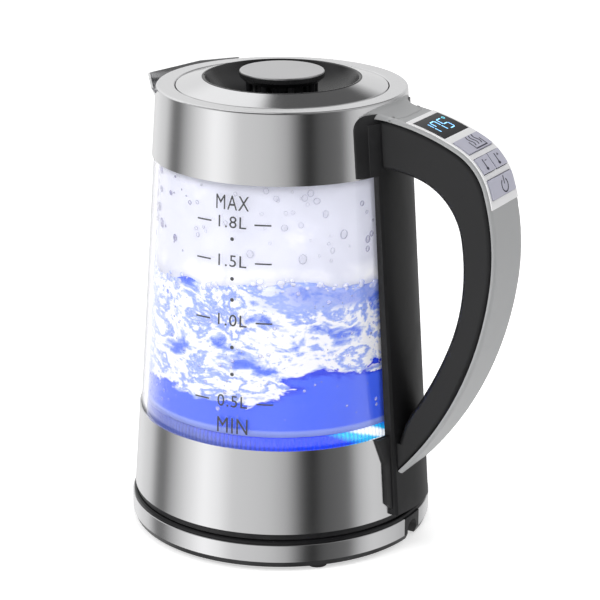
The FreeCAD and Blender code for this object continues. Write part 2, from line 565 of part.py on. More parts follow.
def build_collar():
    shoulder = "rim_top - rim_round"
    lip = "mouth_radius"
    wall = "steel_wall"
    collar = turned("collar_blank", [
        ("collar_bottom_radius", "collar_bottom"), ("rim_radius", shoulder),
        ("rim_radius - rim_round", "rim_top", "rim_round", "left"), (lip + " + 0.8", "rim_top"),
        (lip, "rim_top - 0.8", "0.8", "left"), (lip, "rim_top - mouth_lip"),
        (lip + " + " + wall, "rim_top - mouth_lip"), (lip + " + " + wall, "rim_top - " + wall),
        ("rim_radius - rim_round", "rim_top - " + wall), ("rim_radius - " + wall, shoulder),
        ("collar_bottom_radius - " + wall, "collar_bottom")])
    channel = spout_wedge("pour_channel", "steel_wall", "pour_back", "spout_top")
    node(cut("collar_cut", collar, channel), "top_collar")
    wedge = spout_wedge("spout_blank", "0", "spout_back", "rim_top")
    hollow = spout_wedge("spout_hollow", "steel_wall", "spout_back - 1", "rim_top")
    rise = "(rim_top - spout_top) / (spout_tip - rim_radius)"
    lip_trim = slab("lip_trim", "XZ_Plane", [
        ("-(spout_tip + 10)", "spout_top - 10 * " + rise),
        ("-spout_back", "spout_top + (spout_tip - spout_back) * " + rise),
        ("-spout_back", "rim_top + 10"), ("-(spout_tip + 10)", "rim_top + 10")], "4 * spout_half")
    node(cut("spout_cut", wedge, hollow, jug_envelope("spout_envelope"), lip_trim), "spout")


def build_inner_ring():
    seal_in = glass_radius("glass_head") + " - glass_wall"
    outer = collar_radius("head_seal_top") + " - steel_wall - 0.3"
    node(turned("head_seal", [
        ("head_seal_inner", "head_seal_foot"), (seal_in, "head_seal_foot"), (seal_in, "glass_head"),
        (outer, "glass_head"), (outer, "head_seal_top"), ("head_seal_inner", "head_seal_top")]),
        "glass_head_seal")
    shelf = collar_radius("shelf_top") + " - steel_wall - 0.3"
    liner = turned("liner_blank", [
        ("head_seal_inner", "head_seal_top"), (outer, "head_seal_top"), (shelf, "shelf_top"),
        ("mouth_radius + liner_wall", "shelf_top"), ("mouth_radius + liner_wall", "liner_top"),
        ("mouth_radius", "liner_top"), ("mouth_radius", "ledge_top"), ("liner_ledge", "ledge_top"),
        ("liner_ledge", "ledge_bottom")])
    gate = box("pour_gate", ("-(rim_radius + 5)", "-pour_half", "head_seal_top - 1"),
               ("-(liner_ledge - 12)", "pour_half", "liner_top + 1"))
    node(cut("liner_cut", liner, gate), "liner_ring")

    panel = turned("strainer_blank", [
        ("-strainer_radius", "head_seal_top"), ("-strainer_radius", "strainer_top"),
        ("-(strainer_radius - strainer_wall)", "strainer_top"),
        ("-(strainer_radius - strainer_wall)", "head_seal_top")], "strainer_angle")
    slots = []
    for index in range(STRAINER_SLOTS):
        across = "(%g * strainer_pitch)" % (index - (STRAINER_SLOTS - 1) / 2)
        slots.append(box("strainer_slot",
                         ("-(strainer_radius + 2)", across + " - strainer_slot / 2", "head_seal_top + 3"),
                         ("-(strainer_radius - 12)", across + " + strainer_slot / 2", "strainer_top - 3")))
    node(cut("strainer_cut", panel, joined("strainer_slots", slots)), "strainer")


# ---------- lid ----------

def build_lid():
    outer = "(mouth_radius - lid_gap)"
    hub = "lid_hub_radius"
    hub_top = "rim_top + lid_hub_rise"
    wall = "steel_wall"
    node(turned("lid_trim", [
        (outer, "rim_top - lid_ring_drop"), (outer, "rim_top - 0.6"),
        (outer + " - 0.6", "rim_top", "0.6", "left"), (hub, hub_top), (hub, hub_top + " - " + wall),
        (outer + " - " + wall, "rim_top - " + wall), (outer + " - " + wall, "rim_top - lid_ring_drop")]),
        "lid_steel_ring")

    floor = "bowl_floor"
    bead = hub + " - bead_width"
    bead_top = "rim_top + bead_rise"
    node(turned("bowl", [
        ("0", floor + " - bowl_wall"), ("bowl_floor_radius + 1", floor + " - bowl_wall"),
        (hub + " - 1.6", hub_top + " - 3.1", "bowl_bend", "left"), (hub + " + 1.5", hub_top + " - 3.1"),
        (hub + " + 1.5", hub_top + " - 1.8"), (hub + " - 0.1", hub_top + " - 1.3"),
        (hub + " - 0.1", bead_top + " - 0.8"), (bead, bead_top + " - 0.8", "bead_width / 1.9", "left"),
        (bead + " - 0.6", bead_top + " - 2"), ("bowl_floor_radius", floor, "bowl_bend - 1", "right"),
        ("0", floor)]), "lid_bowl")

    body = "lid_body_radius"
    inner = body + " - lid_body_wall"
    under = "rim_top - 1"
    node(turned("plug", [
        (inner, "lid_bottom"), (body, "lid_bottom"), (body, under), (hub + " + 1.7", hub_top + " - 1.7"),
        (hub + " + 1.7", hub_top + " - 3.2"), (inner, under + " - 1.2")]), "lid_body")
    plate_low = "lid_bottom + inner_plate_rise"
    node(rod("lid_plate", inner, plate_low, plate_low + " + 1"), "lid_inner_plate")
    node(rod("lid_core", "boss_radius", plate_low + " + 1", floor + " - bowl_wall"), "lid_boss")
    middle = "lid_seal_bottom + lid_seal_tall / 2"
    node(turned("lid_gasket", [
        (body, "lid_seal_bottom"), ("lid_seal_radius", middle + " - 0.5"),
        ("lid_seal_radius", middle + " + 0.5"), (body, "lid_seal_bottom + lid_seal_tall")]), "lid_seal")

    under_cap = "knob_top - steel_wall"
    node(turned("knob", [
        ("0", floor), ("knob_neck", floor), ("knob_neck", "knob_flare_height"),
        ("knob_flare", "knob_flare_height"), ("knob_radius", "knob_top - knob_edge"),
        ("knob_radius", under_cap), ("0", under_cap)]), "knob_body")
    pins = [rod("knob_pin", "post_pin_radius", floor, "knob_flare_height", x, y)
            for x, y in around("post_pin_circle", int(value("post_pin_count")), "0")]
    node(joined("knob_pin_set", pins), "knob_posts")
    node(turned("knob_top_plate", [
        ("0", under_cap), ("knob_radius - knob_cap_inset", under_cap),
        ("knob_radius - knob_cap_inset", "knob_top - 0.4"),
        ("knob_radius - knob_cap_inset - 0.4", "knob_top", "0.4", "left"), ("0", "knob_top")]), "knob_cap")


# ---------- handle ----------

def arch_centres():
    """Centres of the four tangent arcs of the handle's back, from the collar to the foot."""
    x, z = "arch_x", "arch_z"
    centres = [(x, z)]
    for outer, inner, angle in (("top_radius", "corner_radius", "corner_from"),
                                ("corner_radius", "back_radius", "corner_to"),
                                ("back_radius", "low_radius", "back_to")):
        x = "%s + (%s - %s) * sin(%s)" % (x, outer, inner, angle)
        z = "%s + (%s - %s) * cos(%s)" % (z, outer, inner, angle)
        centres.append((x, z))
    return centres


ARCH_RADII = ("top_radius", "corner_radius", "back_radius", "low_radius")


def on_arch(arc, angle, offset="0"):
    """Point at an angle from +Z on one of the arcs, pushed out by offset."""
    x, z = arch_centres()[arc]
    reach = "(%s + %s)" % (ARCH_RADII[arc], offset)
    return "%s + %s * sin(%s)" % (x, reach, angle), "%s + %s * cos(%s)" % (z, reach, angle)


def arch_line(offset, first, last):
    """Corners along the arcs from the first (arc, angle) to the last, pushed out by offset."""
    joints = ("corner_from", "corner_to", "back_to")
    corners = [on_arch(first[0], first[1], offset)]
    for arc in range(first[0], last[0] + 1):
        angle = last[1] if arc == last[0] else joints[arc]
        corners.append(on_arch(arc, angle, offset) + ("%s + %s" % (ARCH_RADII[arc], offset), "right"))
    return corners


def arch_band(name, low, high, first, last, width):
    """Curved slab between two offsets from the handle's back."""
    outside = arch_line(high, first, last)
    inside = arch_line(low, first, last)
    back = [inside[-1][:2]]
    for index in range(len(inside) - 1, 0, -1):
        back.append(inside[index - 1][:2] + (inside[index][2], "left"))
    return slab(name, "XZ_Plane", outside + back, width)


def across_grip(edge):
    """True for an edge that lies in one of the handle's flat flanks."""
    box_of_edge = edge.BoundBox
    return box_of_edge.YLength < 0.01


def strip_section(front, back):
    half = "strip_half"
    edge = "strip_edge"
    corner = "%s - %s" % (half, edge)
    return [(back, "-" + half), ("%s - %s" % (front, edge), "-" + half), (front, "-(%s)" % corner),
            (front, corner, "strip_crown", "left"), ("%s - %s" % (front, edge), half), (back, half)]


def strip_front(height):
    """Front of the strip at a height, on the straight line from its foot to its head."""
    slope = "(strip_foot_front - strip_head_front) / (strip_top - strip_bottom)"
    return "(strip_head_front + (strip_top - (%s)) * %s)" % (height, slope)


def root_section(front, back):
    """The strip's outline where it spreads over the upper saddle."""
    wide = "strip_root_half"
    corner = "(strip_half - strip_edge)"
    return [(back, "-" + wide), ("%s - strip_root_step" % front, "-" + wide), (front, "-" + corner),
            (front, corner, "strip_crown", "left"), ("%s - strip_root_step" % front, wide), (back, wide)]


def saddle(name, outer, inner, outline):
    """Plate that hugs the jug's wall, trimmed to an outline seen along X."""
    shell = turned(name + "_shell", [inner[0], outer[0], outer[1], inner[1]], "80")
    trim = slab(name + "_trim", "YZ_Plane", outline, "200")
    return shared(name + "_common", shell, trim)


def build_saddles():
    low, high, half = "upper_saddle_bottom", "upper_saddle_top", "upper_saddle_half"
    thick = " + saddle_thick"
    bend = "saddle_corner"
    upper = saddle("upper_saddle", [(collar_radius(low) + thick, low), (collar_radius(high) + thick, high)],
                   [(collar_radius(low), low), (collar_radius(high), high)],
                   [("-" + half, low), (half, low), (half, "%s - %s" % (high, bend)),
                    ("%s - %s" % (half, bend), high, bend, "left"), ("-(%s - %s)" % (half, bend), high),
                    ("-" + half, "%s - %s" % (high, bend), bend, "left")])
    thinning = doc.addObject("Part::Cone", "upper_saddle_thinning")
    bind(thinning, Radius1=collar_radius(low) + thick + " - saddle_shift",
         Radius2=collar_radius(high) + thick + " - saddle_shift", Height="(%s) - (%s)" % (high, low))
    upper = shared("upper_saddle_thinned", upper, place(thinning, "saddle_shift", "0", low))
    node(upper, "upper_saddle")
    round_off = "lower_saddle_corner"
    low, high, half, waist = "lower_saddle_bottom", "lower_saddle_top", "lower_saddle_half", "lower_saddle_waist"
    lower = saddle("lower_saddle", [(skirt_radius(low) + thick, low), (skirt_radius(high) + thick, high)],
                   [(skirt_radius(low), low), (skirt_radius(high), high)],
                   [("-(%s - %s)" % (waist, round_off), low), ("%s - %s" % (waist, round_off), low),
                    (waist, "%s + %s" % (low, round_off), round_off, "left"),
                    (waist, "skirt_top - lower_saddle_bend"), (half, high), ("-" + half, high),
                    ("-" + waist, "skirt_top - lower_saddle_bend"),
                    ("-" + waist, "%s + %s" % (low, round_off))])
    node(lower, "lower_saddle")
    return upper, lower


def build_handle():
    upper, lower = build_saddles()
    strip = lofted("strip_blank", [
        ("strip_bottom", strip_section("strip_foot_front", "strip_back")),
        ("strip_top", strip_section("strip_head_front", "strip_back"))])
    root = lofted("strip_root", [
        ("upper_saddle_bottom", root_section(strip_front("upper_saddle_bottom"), "strip_back")),
        ("strip_top", root_section("strip_head_front", "strip_back"))])
    strip_solid = cut("strip_cut", joined("strip_whole", [strip, root]), jug_envelope("strip_envelope"),
                      upper, lower)
    node(strip_solid, "handle_strip")

    start = (0, "asin((arch_root - arch_x) / top_radius)")
    back = arch_line("0", start, (3, "low_to"))
    foot = on_arch(3, "low_to")
    grip = slab("grip_blank", "XZ_Plane", back + [
        ("strip_back", foot[1]), ("strip_back", "arch_z + palm_low_z"), ("palm_low_x", "arch_z + palm_low_z"),
        ("palm_bend_x", "arch_z + palm_bend_z", "palm_bend_radius", "right"),
        ("palm_back_x", "arch_z + palm_back_z", "palm_rise_radius", "left"),
        ("palm_corner_x", "arch_z + palm_corner_z", "palm_back_radius", "left"),
        ("palm_top_x", "arch_z + palm_top_z", "palm_corner_radius", "left"),
        ("palm_root_x", "arch_z + palm_root_z", "palm_top_radius", "left"),
        ("strip_back", "arch_z + palm_root_z")], "2 * grip_half")
    rounded(grip, "grip_edge", lambda edge: across_grip(edge) and edge.Curve.TypeId == "Part::GeomCircle"
            and edge.Curve.Radius < 110 and edge.BoundBox.XMin > value("palm_root_x") - 1)
    bay = arch_band("grip_bay", "-bay_deep", "1", (0, "panel_from"), (2, "panel_to"), "2 * bay_half")
    trimmed = cut("grip_trim", grip, bay, strip_solid, jug_envelope("grip_envelope"))
    node(cut("grip_final", trimmed, upper, lower), "handle_grip")

    cover = arch_band("cover_bar", "0", "cover_offset", start, (3, "low_to"), "2 * grip_half")
    cover = rounded(cover, "cover_round", lambda edge: across_grip(edge) and edge.Length > 20
                    and is_outer(edge))
    window = arch_band("cover_window", "-1", "5", (0, "panel_from"), (2, "panel_to"),
                       "2 * (panel_half + panel_gap)")
    node(cut("cover_final", cover, window, strip_solid, upper, jug_envelope("cover_envelope")), "handle_cover")


def is_outer(edge):
    """True for an edge on the outside of the handle's cover."""
    if edge.Curve.TypeId != "Part::GeomCircle":
        return False
    return any(abs(edge.Curve.Radius - value(radius + " + cover_offset")) < 0.01 for radius in ARCH_RADII)


# ---------- control panel ----------

def at_key(item, angle, across):
    """Stand an object made about its own origin on the handle's corner arc, its Z outwards."""
    x, z = on_arch(1, angle)
    item.Placement.Rotation = FreeCAD.Rotation(FreeCAD.Vector(0, 1, 0), value(angle))
    bind(item, Placement__Rotation__Angle=angle)
    return place(item, x, across, z)


def key_block(name, long, half, low, high, grow):
    """Rounded block lying along X, centred on its own origin."""
    body = doc.addObject("PartDesign::Body", name)
    along = "(%s) / 2 + %s" % (long, grow)
    across = "%s + %s" % (half, grow)
    bend = "key_round"
    sketch = sketch_on(body, "XY_Plane", [
        ("-(%s)" % along, "-(%s - %s)" % (across, bend)),
        ("-(%s - %s)" % (along, bend), "-(%s)" % across, bend, "left"), ("%s - %s" % (along, bend), "-(%s)" % across),
        (along, "-(%s - %s)" % (across, bend), bend, "left"), (along, "%s - %s" % (across, bend)),
        ("%s - %s" % (along, bend), across, bend, "left"), ("-(%s - %s)" % (along, bend), across),
        ("-(%s)" % along, "%s - %s" % (across, bend), bend, "left")], low)
    pad = body.newObject("PartDesign::Pad", name + "_pad")
    pad.Profile = sketch
    bind(pad, Length="(%s) - (%s)" % (high, low))
    return body


def build_panel():
    half_pair = "(key_half - key_split / 2) / 2"
    keys = (("keep_warm_button", "warm_angle", "warm_long", "key_half", "0"),
            ("temp_down_button", "level_angle", "level_long", half_pair, "-(key_half - %s)" % half_pair),
            ("temp_up_button", "level_angle", "level_long", half_pair, "key_half - %s" % half_pair),
            ("power_button", "power_angle", "power_long", "key_half", "0"))
    frame = arch_band("panel_blank", "0", "panel_proud", (0, "panel_from"), (2, "panel_to"), "2 * panel_half")
    tools = [arch_band("window_hole", "-1", "panel_proud + 2", (0, "window_from"), (0, "window_to"),
                       "2 * window_half")]
    switches = []
    for label, angle, long, half, across in keys:
        tools.append(at_key(key_block(label + "_hole", long, half, "-5", "10", "key_gap"), angle, across))
        button = key_block(label + "_block", long, half, "-key_deep", "key_proud", "0")
        node(at_key(button, angle, across), label)
        switch = key_block(label + "_switch", "2 * switch_half", "switch_half", "-switch_foot", "-switch_top", "0")
        switches.append(at_key(switch, angle, across))
    node(cut("panel_cut", frame, *tools), "control_panel")
    node(joined("switch_set", switches), "key_switches")

    node(arch_band("display", "window_proud - window_thick", "window_proud", (0, "window_from"),
                   (0, "window_to"), "2 * window_half"), "display_window")
    node(arch_band("module", "-module_deep", "window_proud - window_thick", (0, "window_from + 0.3"),
                   (0, "window_to - 0.3"), "2 * module_half"), "display_module")
    node(arch_band("board", "-board_deep", "-switch_foot", (0, "window_from"), (1, "corner_to"),
                   "2 * (bay_half - 1)"), "control_board")


build_base()
build_socket()
build_underside()
build_heating()
build_glass_and_light()
build_collar()
build_inner_ring()
build_lid()
build_handle()
build_panel()
doc.recompute()

# ---------- checks and export ----------

failed = [item.Name for item in doc.Objects if {"Invalid", "Error"} & set(item.State)]
assert not failed, failed
os.makedirs("parts", exist_ok=True)
for item in nodes:
    shape = item.Shape
    assert not shape.isNull() and shape.isValid() and shape.Solids, item.Label
for item in nodes:
    item.Shape.exportStep("parts/%s.step" % item.Label)
    print("%-24s solids %2d  volume %10.1f mm3" % (item.Label, len(item.Shape.Solids), item.Shape.Volume))
print(len(nodes), "sub-parts")
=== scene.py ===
"""Looks of a cordless glass kettle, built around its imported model."""
import json
import logging
import math
import random
from dataclasses import dataclass, field
from enum import Enum
from typing import Iterable, Sequence

import bmesh
import bpy
from mathutils import Matrix, Vector


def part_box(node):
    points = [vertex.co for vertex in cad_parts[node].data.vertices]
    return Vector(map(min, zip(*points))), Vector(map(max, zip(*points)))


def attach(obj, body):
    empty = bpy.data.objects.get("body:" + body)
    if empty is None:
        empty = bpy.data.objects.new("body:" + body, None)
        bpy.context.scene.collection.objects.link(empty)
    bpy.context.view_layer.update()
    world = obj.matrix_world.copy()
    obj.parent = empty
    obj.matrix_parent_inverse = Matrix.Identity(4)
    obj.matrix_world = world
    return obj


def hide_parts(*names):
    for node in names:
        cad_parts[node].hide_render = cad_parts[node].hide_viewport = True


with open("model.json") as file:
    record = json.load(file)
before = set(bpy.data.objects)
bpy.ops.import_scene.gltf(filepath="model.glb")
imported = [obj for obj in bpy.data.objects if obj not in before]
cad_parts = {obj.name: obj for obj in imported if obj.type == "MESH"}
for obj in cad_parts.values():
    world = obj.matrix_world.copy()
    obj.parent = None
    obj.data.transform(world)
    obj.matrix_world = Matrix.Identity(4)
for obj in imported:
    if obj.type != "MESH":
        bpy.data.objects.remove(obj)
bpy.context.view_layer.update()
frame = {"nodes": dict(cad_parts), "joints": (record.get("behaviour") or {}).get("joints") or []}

MM = 0.001
MERGE = 1e-6
SAME_LEVEL = 0.02 * MM
LOG = logging.getLogger("kettle")
Colour = tuple[float, float, float]
Point = tuple[float, float]
Direction = tuple[float, float, float]


# ---------- node trees ----------

class NodeSheet:
    """A small helper that adds, sets and links nodes in one tree."""

    def __init__(self, tree: bpy.types.NodeTree) -> None:
        """Args: tree: the node tree to fill."""
        self.tree = tree

    def add(self, kind: str, inputs: dict | None = None, **settings: object) -> bpy.types.Node:
        """Add one node.

        Args:
            kind: the node's type name.
            inputs: socket names to plain values or to output sockets.
            settings: the node's own properties.
        Returns:
            The new node.
        """
        node = self.tree.nodes.new(kind)
        for name, setting in settings.items():
            setattr(node, name, setting)
        for name, source in (inputs or {}).items():
            if isinstance(source, bpy.types.NodeSocket):
                self.tree.links.new(source, node.inputs[name])
            else:
                node.inputs[name].default_value = source
        return node

    def ramp(self, factor: bpy.types.NodeSocket,
             stops: Sequence[tuple[float, Colour]]) -> bpy.types.NodeSocket:
        """Colour ramp from a factor.

        Args:
            factor: the socket that drives the ramp.
            stops: (position, colour) pairs in order.
        Returns:
            The ramp's colour socket.
        """
        node = self.add("ShaderNodeValToRGB", {"Fac": factor})
        band = node.color_ramp
        while len(band.elements) < len(stops):
            band.elements.new(0.5)
        for element, (position, colour) in zip(band.elements, stops):
            element.position = position
            element.color = (*colour, 1.0)
        return node.outputs["Color"]

    def mask(self, factor: bpy.types.NodeSocket, stops: Sequence[Point]) -> bpy.types.NodeSocket:
        """Grey ramp from a factor. Args: factor: the driving socket. stops: (position, value) pairs.

        Returns:
            The ramp's socket.
        """
        return self.ramp(factor, [(position, (grey,) * 3) for position, grey in stops])

    def noise(self, place: bpy.types.NodeSocket, scale: object, detail: float,
              **inputs: float) -> bpy.types.Node:
        """One Noise Texture node.

        Args:
            place: the coordinates.
            scale: its scale, a value or a socket.
            detail: its detail.
            inputs: its other inputs by name.
        Returns:
            The node.
        """
        return self.add("ShaderNodeTexNoise", {"Vector": place, "Scale": scale, "Detail": detail, **inputs})

    def maths(self, operation: str, first: object, second: object = 0.5,
              clamp: bool = False) -> bpy.types.NodeSocket:
        """One Math node.

        Args:
            operation: the Math node's operation.
            first: value or socket.
            second: value or socket.
            clamp: keep the result between 0 and 1.
        Returns:
            The result socket.
        """
        node = self.add("ShaderNodeMath", operation=operation, use_clamp=clamp)
        for index, source in enumerate((first, second)):
            if isinstance(source, bpy.types.NodeSocket):
                self.tree.links.new(source, node.inputs[index])
            else:
                node.inputs[index].default_value = source
        return node.outputs[0]

    def mix(self, factor: object, first: object, second: object) -> bpy.types.NodeSocket:
        """Mix two colours.

        Args:
            factor: value or socket.
            first: colour or socket.
            second: colour or socket.
        Returns:
            The mixed colour socket.
        """
        node = self.add("ShaderNodeMix", data_type="RGBA")
        for index, source in ((0, factor), (6, first), (7, second)):
            if isinstance(source, bpy.types.NodeSocket):
                self.tree.links.new(source, node.inputs[index])
            elif index == 0:
                node.inputs[index].default_value = source
            else:
                node.inputs[index].default_value = (*source, 1.0)
        return node.outputs[2]


def new_group(name: str, inputs: dict[str, float], outputs: dict[str, str]) -> NodeSheet:
    """Start a shader node group.

    Args:
        name: the group's name.
        inputs: float inputs with their defaults.
        outputs: output names to socket kinds.
    Returns:
        A sheet whose tree is the group.
    """
    tree = bpy.data.node_groups.new(name, "ShaderNodeTree")
    for label, default in inputs.items():
        socket = tree.interface.new_socket(label, in_out="INPUT", socket_type="NodeSocketFloat")
        socket.default_value = default
    for label, kind in outputs.items():
        tree.interface.new_socket(label, in_out="OUTPUT", socket_type=kind)
    return NodeSheet(tree)


class Effect(Enum):
    """Effects that several finishes share, each a node group."""

    BRUSH = "brushed_lines"
    SMUDGE = "handling_marks"
    GRAIN = "moulded_grain"
    WEAR = "worn_edges"


def build_brush_group() -> None:
    """Fine lines that run round a turned piece, broken up along their length."""
    sheet = new_group(Effect.BRUSH.value, {"Lines": 2600.0, "Run": 14.0, "Fleck": 0.5},
                      {"Height": "NodeSocketFloat", "Shade": "NodeSocketFloat"})
    source = sheet.add("NodeGroupInput")
    place = sheet.add("ShaderNodeTexCoord").outputs["Object"]
    apart = sheet.add("ShaderNodeSeparateXYZ", {"Vector": place})
    run = source.outputs["Run"]
    joined = sheet.add("ShaderNodeCombineXYZ", {
        "X": sheet.maths("MULTIPLY", apart.outputs["X"], run),
        "Y": sheet.maths("MULTIPLY", apart.outputs["Y"], run),
        "Z": sheet.maths("MULTIPLY", apart.outputs["Z"], source.outputs["Lines"])})
    fine = sheet.noise(joined.outputs["Vector"], 1.0, 4.0, Roughness=0.65)
    coarse = sheet.noise(joined.outputs["Vector"], 0.22, 2.0)
    height = sheet.maths("ADD", sheet.maths("MULTIPLY", fine.outputs["Fac"], 0.7),
                         sheet.maths("MULTIPLY", coarse.outputs["Fac"], 0.3))
    shade = sheet.maths("MULTIPLY", sheet.maths("SUBTRACT", height, 0.5), source.outputs["Fleck"])
    sheet.add("NodeGroupOutput", {"Height": height, "Shade": shade})


def build_smudge_group() -> None:
    """Faint finger and wiping marks as a soft mask."""
    sheet = new_group(Effect.SMUDGE.value, {"Size": 28.0}, {"Mask": "NodeSocketFloat"})
    source = sheet.add("NodeGroupInput")
    place = sheet.add("ShaderNodeTexCoord").outputs["Object"]
    broad = sheet.noise(place, source.outputs["Size"], 3.0, Distortion=1.4)
    sheet.add("NodeGroupOutput", {"Mask": sheet.maths("SUBTRACT", broad.outputs["Fac"], 0.45, True)})


def build_grain_group() -> None:
    """Fine spark-eroded grain of a moulded plastic skin."""
    sheet = new_group(Effect.GRAIN.value, {"Size": 2400.0}, {"Height": "NodeSocketFloat"})
    source = sheet.add("NodeGroupInput")
    place = sheet.add("ShaderNodeTexCoord").outputs["Object"]
    cells = sheet.add("ShaderNodeTexVoronoi", {"Vector": place, "Scale": source.outputs["Size"]},
                      feature="SMOOTH_F1")
    noise = sheet.noise(place, source.outputs["Size"], 3.0)
    height = sheet.maths("ADD", cells.outputs["Distance"], noise.outputs["Fac"])
    sheet.add("NodeGroupOutput", {"Height": height})


def build_wear_group() -> None:
    """Mask on outward edges, broken up by noise, where a skin has been rubbed."""
    sheet = new_group(Effect.WEAR.value, {"Start": 0.52, "Width": 0.08}, {"Mask": "NodeSocketFloat"})
    source = sheet.add("NodeGroupInput")
    edge = sheet.add("ShaderNodeNewGeometry").outputs["Pointiness"]
    place = sheet.add("ShaderNodeTexCoord").outputs["Object"]
    noise = sheet.noise(place, 180.0, 3.0)
    past = sheet.maths("SUBTRACT", edge, source.outputs["Start"])
    rise = sheet.maths("DIVIDE", past, source.outputs["Width"], True)
    sheet.add("NodeGroupOutput", {"Mask": sheet.maths("MULTIPLY", rise, noise.outputs["Fac"], True)})


def use_effect(sheet: NodeSheet, effect: Effect, **settings: float) -> bpy.types.Node:
    """Place a shared effect in a material.

    Args:
        sheet: the material's sheet.
        effect: which shared effect.
        settings: its inputs, by name.
    Returns:
        The group node.
    """
    node = sheet.add("ShaderNodeGroup", node_tree=bpy.data.node_groups[effect.value])
    for name, setting in settings.items():
        node.inputs[name].default_value = setting
    return node


# ---------- finishes ----------

def toned(colour: Colour, amount: float) -> Colour:
    """Returns a colour made darker or lighter. Args: colour: the colour. amount: what to multiply it by."""
    return tuple(min(1.0, part * amount) for part in colour)


@dataclass(frozen=True)
class Finish:
    """A surface finish: a name and a way to fill its material."""

    name: str

    def material(self) -> bpy.types.Material:
        """Returns the finish's material, made the first time it is asked for."""
        made = bpy.data.materials.get(self.name)
        if made is None:
            made = bpy.data.materials.new(self.name)
            made.use_nodes = True
            sheet = NodeSheet(made.node_tree)
            self.fill(sheet, made.node_tree.nodes["Principled BSDF"])
        return made

    def fill(self, sheet: NodeSheet, skin: bpy.types.Node) -> None:
        """Set the material's nodes. Args: sheet: its sheet. skin: its Principled BSDF."""
        raise NotImplementedError


@dataclass(frozen=True)
class BrushedSteel(Finish):
    """Stainless steel brushed round its axis."""

    colour: Colour = (0.80, 0.80, 0.81)
    roughness: float = 0.16
    lines: float = 2600.0
    depth: float = 0.08
    fleck: float = 0.22
    darkest: float = 0.9
    lightest: float = 1.08

    def fill(self, sheet: NodeSheet, skin: bpy.types.Node) -> None:
        """Lines in the height, the colour and the gloss, with faint marks of handling."""
        brush = use_effect(sheet, Effect.BRUSH, Lines=self.lines, Fleck=self.fleck)
        marks = use_effect(sheet, Effect.SMUDGE, Size=22.0)
        shade = brush.outputs["Shade"]
        base = sheet.mix(sheet.maths("ADD", shade, 0.5, True), toned(self.colour, self.darkest),
                         toned(self.colour, self.lightest))
        rough = sheet.maths("ADD", sheet.maths("MULTIPLY", shade, 0.25), self.roughness)
        rough = sheet.maths("ADD", rough, sheet.maths("MULTIPLY", marks.outputs["Mask"], 0.10))
        bump = sheet.add("ShaderNodeBump", {"Strength": self.depth, "Distance": 0.0002,
                                            "Height": brush.outputs["Height"]})
        sheet.tree.links.new(base, skin.inputs["Base Color"])
        sheet.tree.links.new(rough, skin.inputs["Roughness"])
        sheet.tree.links.new(bump.outputs["Normal"], skin.inputs["Normal"])
        skin.inputs["Metallic"].default_value = 1.0


@dataclass(frozen=True)
class MouldedPlastic(Finish):
    """Injection-moulded plastic with a fine grain."""

    colour: Colour = (0.0125, 0.0125, 0.0135)
    roughness: float = 0.40
    grain: float = 2400.0
    depth: float = 0.05
    worn: Colour = (0.03, 0.03, 0.032)
    specular: float = 0.38

    def fill(self, sheet: NodeSheet, skin: bpy.types.Node) -> None:
        """Grain in the height, rubbed edges in the colour, marks in the gloss."""
        grain = use_effect(sheet, Effect.GRAIN, Size=self.grain)
        marks = use_effect(sheet, Effect.SMUDGE, Size=30.0)
        wear = use_effect(sheet, Effect.WEAR)
        base = sheet.mix(wear.outputs["Mask"], self.colour, self.worn)
        base = sheet.mix(sheet.maths("MULTIPLY", marks.outputs["Mask"], 0.25), base, self.worn)
        rough = sheet.maths("ADD", sheet.maths("MULTIPLY", marks.outputs["Mask"], 0.25), self.roughness)
        bump = sheet.add("ShaderNodeBump", {"Strength": self.depth, "Distance": 0.0001,
                                            "Height": grain.outputs["Height"]})
        sheet.tree.links.new(base, skin.inputs["Base Color"])
        sheet.tree.links.new(rough, skin.inputs["Roughness"])
        sheet.tree.links.new(bump.outputs["Normal"], skin.inputs["Normal"])
        skin.inputs["Specular IOR Level"].default_value = self.specular


@dataclass(frozen=True)
class SatinMetal(Finish):
    """Satin metal or metallic paint with a very fine sparkle."""

    colour: Colour = (0.62, 0.63, 0.64)
    roughness: float = 0.36
    metallic: float = 0.85
    sparkle: float = 0.05

    def fill(self, sheet: NodeSheet, skin: bpy.types.Node) -> None:
        """Pigment sparkle in the colour and height, marks in the gloss."""
        place = sheet.add("ShaderNodeTexCoord").outputs["Object"]
        fleck = sheet.noise(place, 5200.0, 2.0)
        marks = use_effect(sheet, Effect.SMUDGE, Size=24.0)
        base = sheet.mix(sheet.maths("MULTIPLY", fleck.outputs["Fac"], self.sparkle * 4), self.colour,
                         toned(self.colour, 1.25))
        rough = sheet.maths("ADD", sheet.maths("MULTIPLY", marks.outputs["Mask"], 0.18), self.roughness)
        bump = sheet.add("ShaderNodeBump", {"Strength": self.sparkle, "Distance": 0.0001,
                                            "Height": fleck.outputs["Fac"]})
        sheet.tree.links.new(base, skin.inputs["Base Color"])
        sheet.tree.links.new(rough, skin.inputs["Roughness"])
        sheet.tree.links.new(bump.outputs["Normal"], skin.inputs["Normal"])
        skin.inputs["Metallic"].default_value = self.metallic


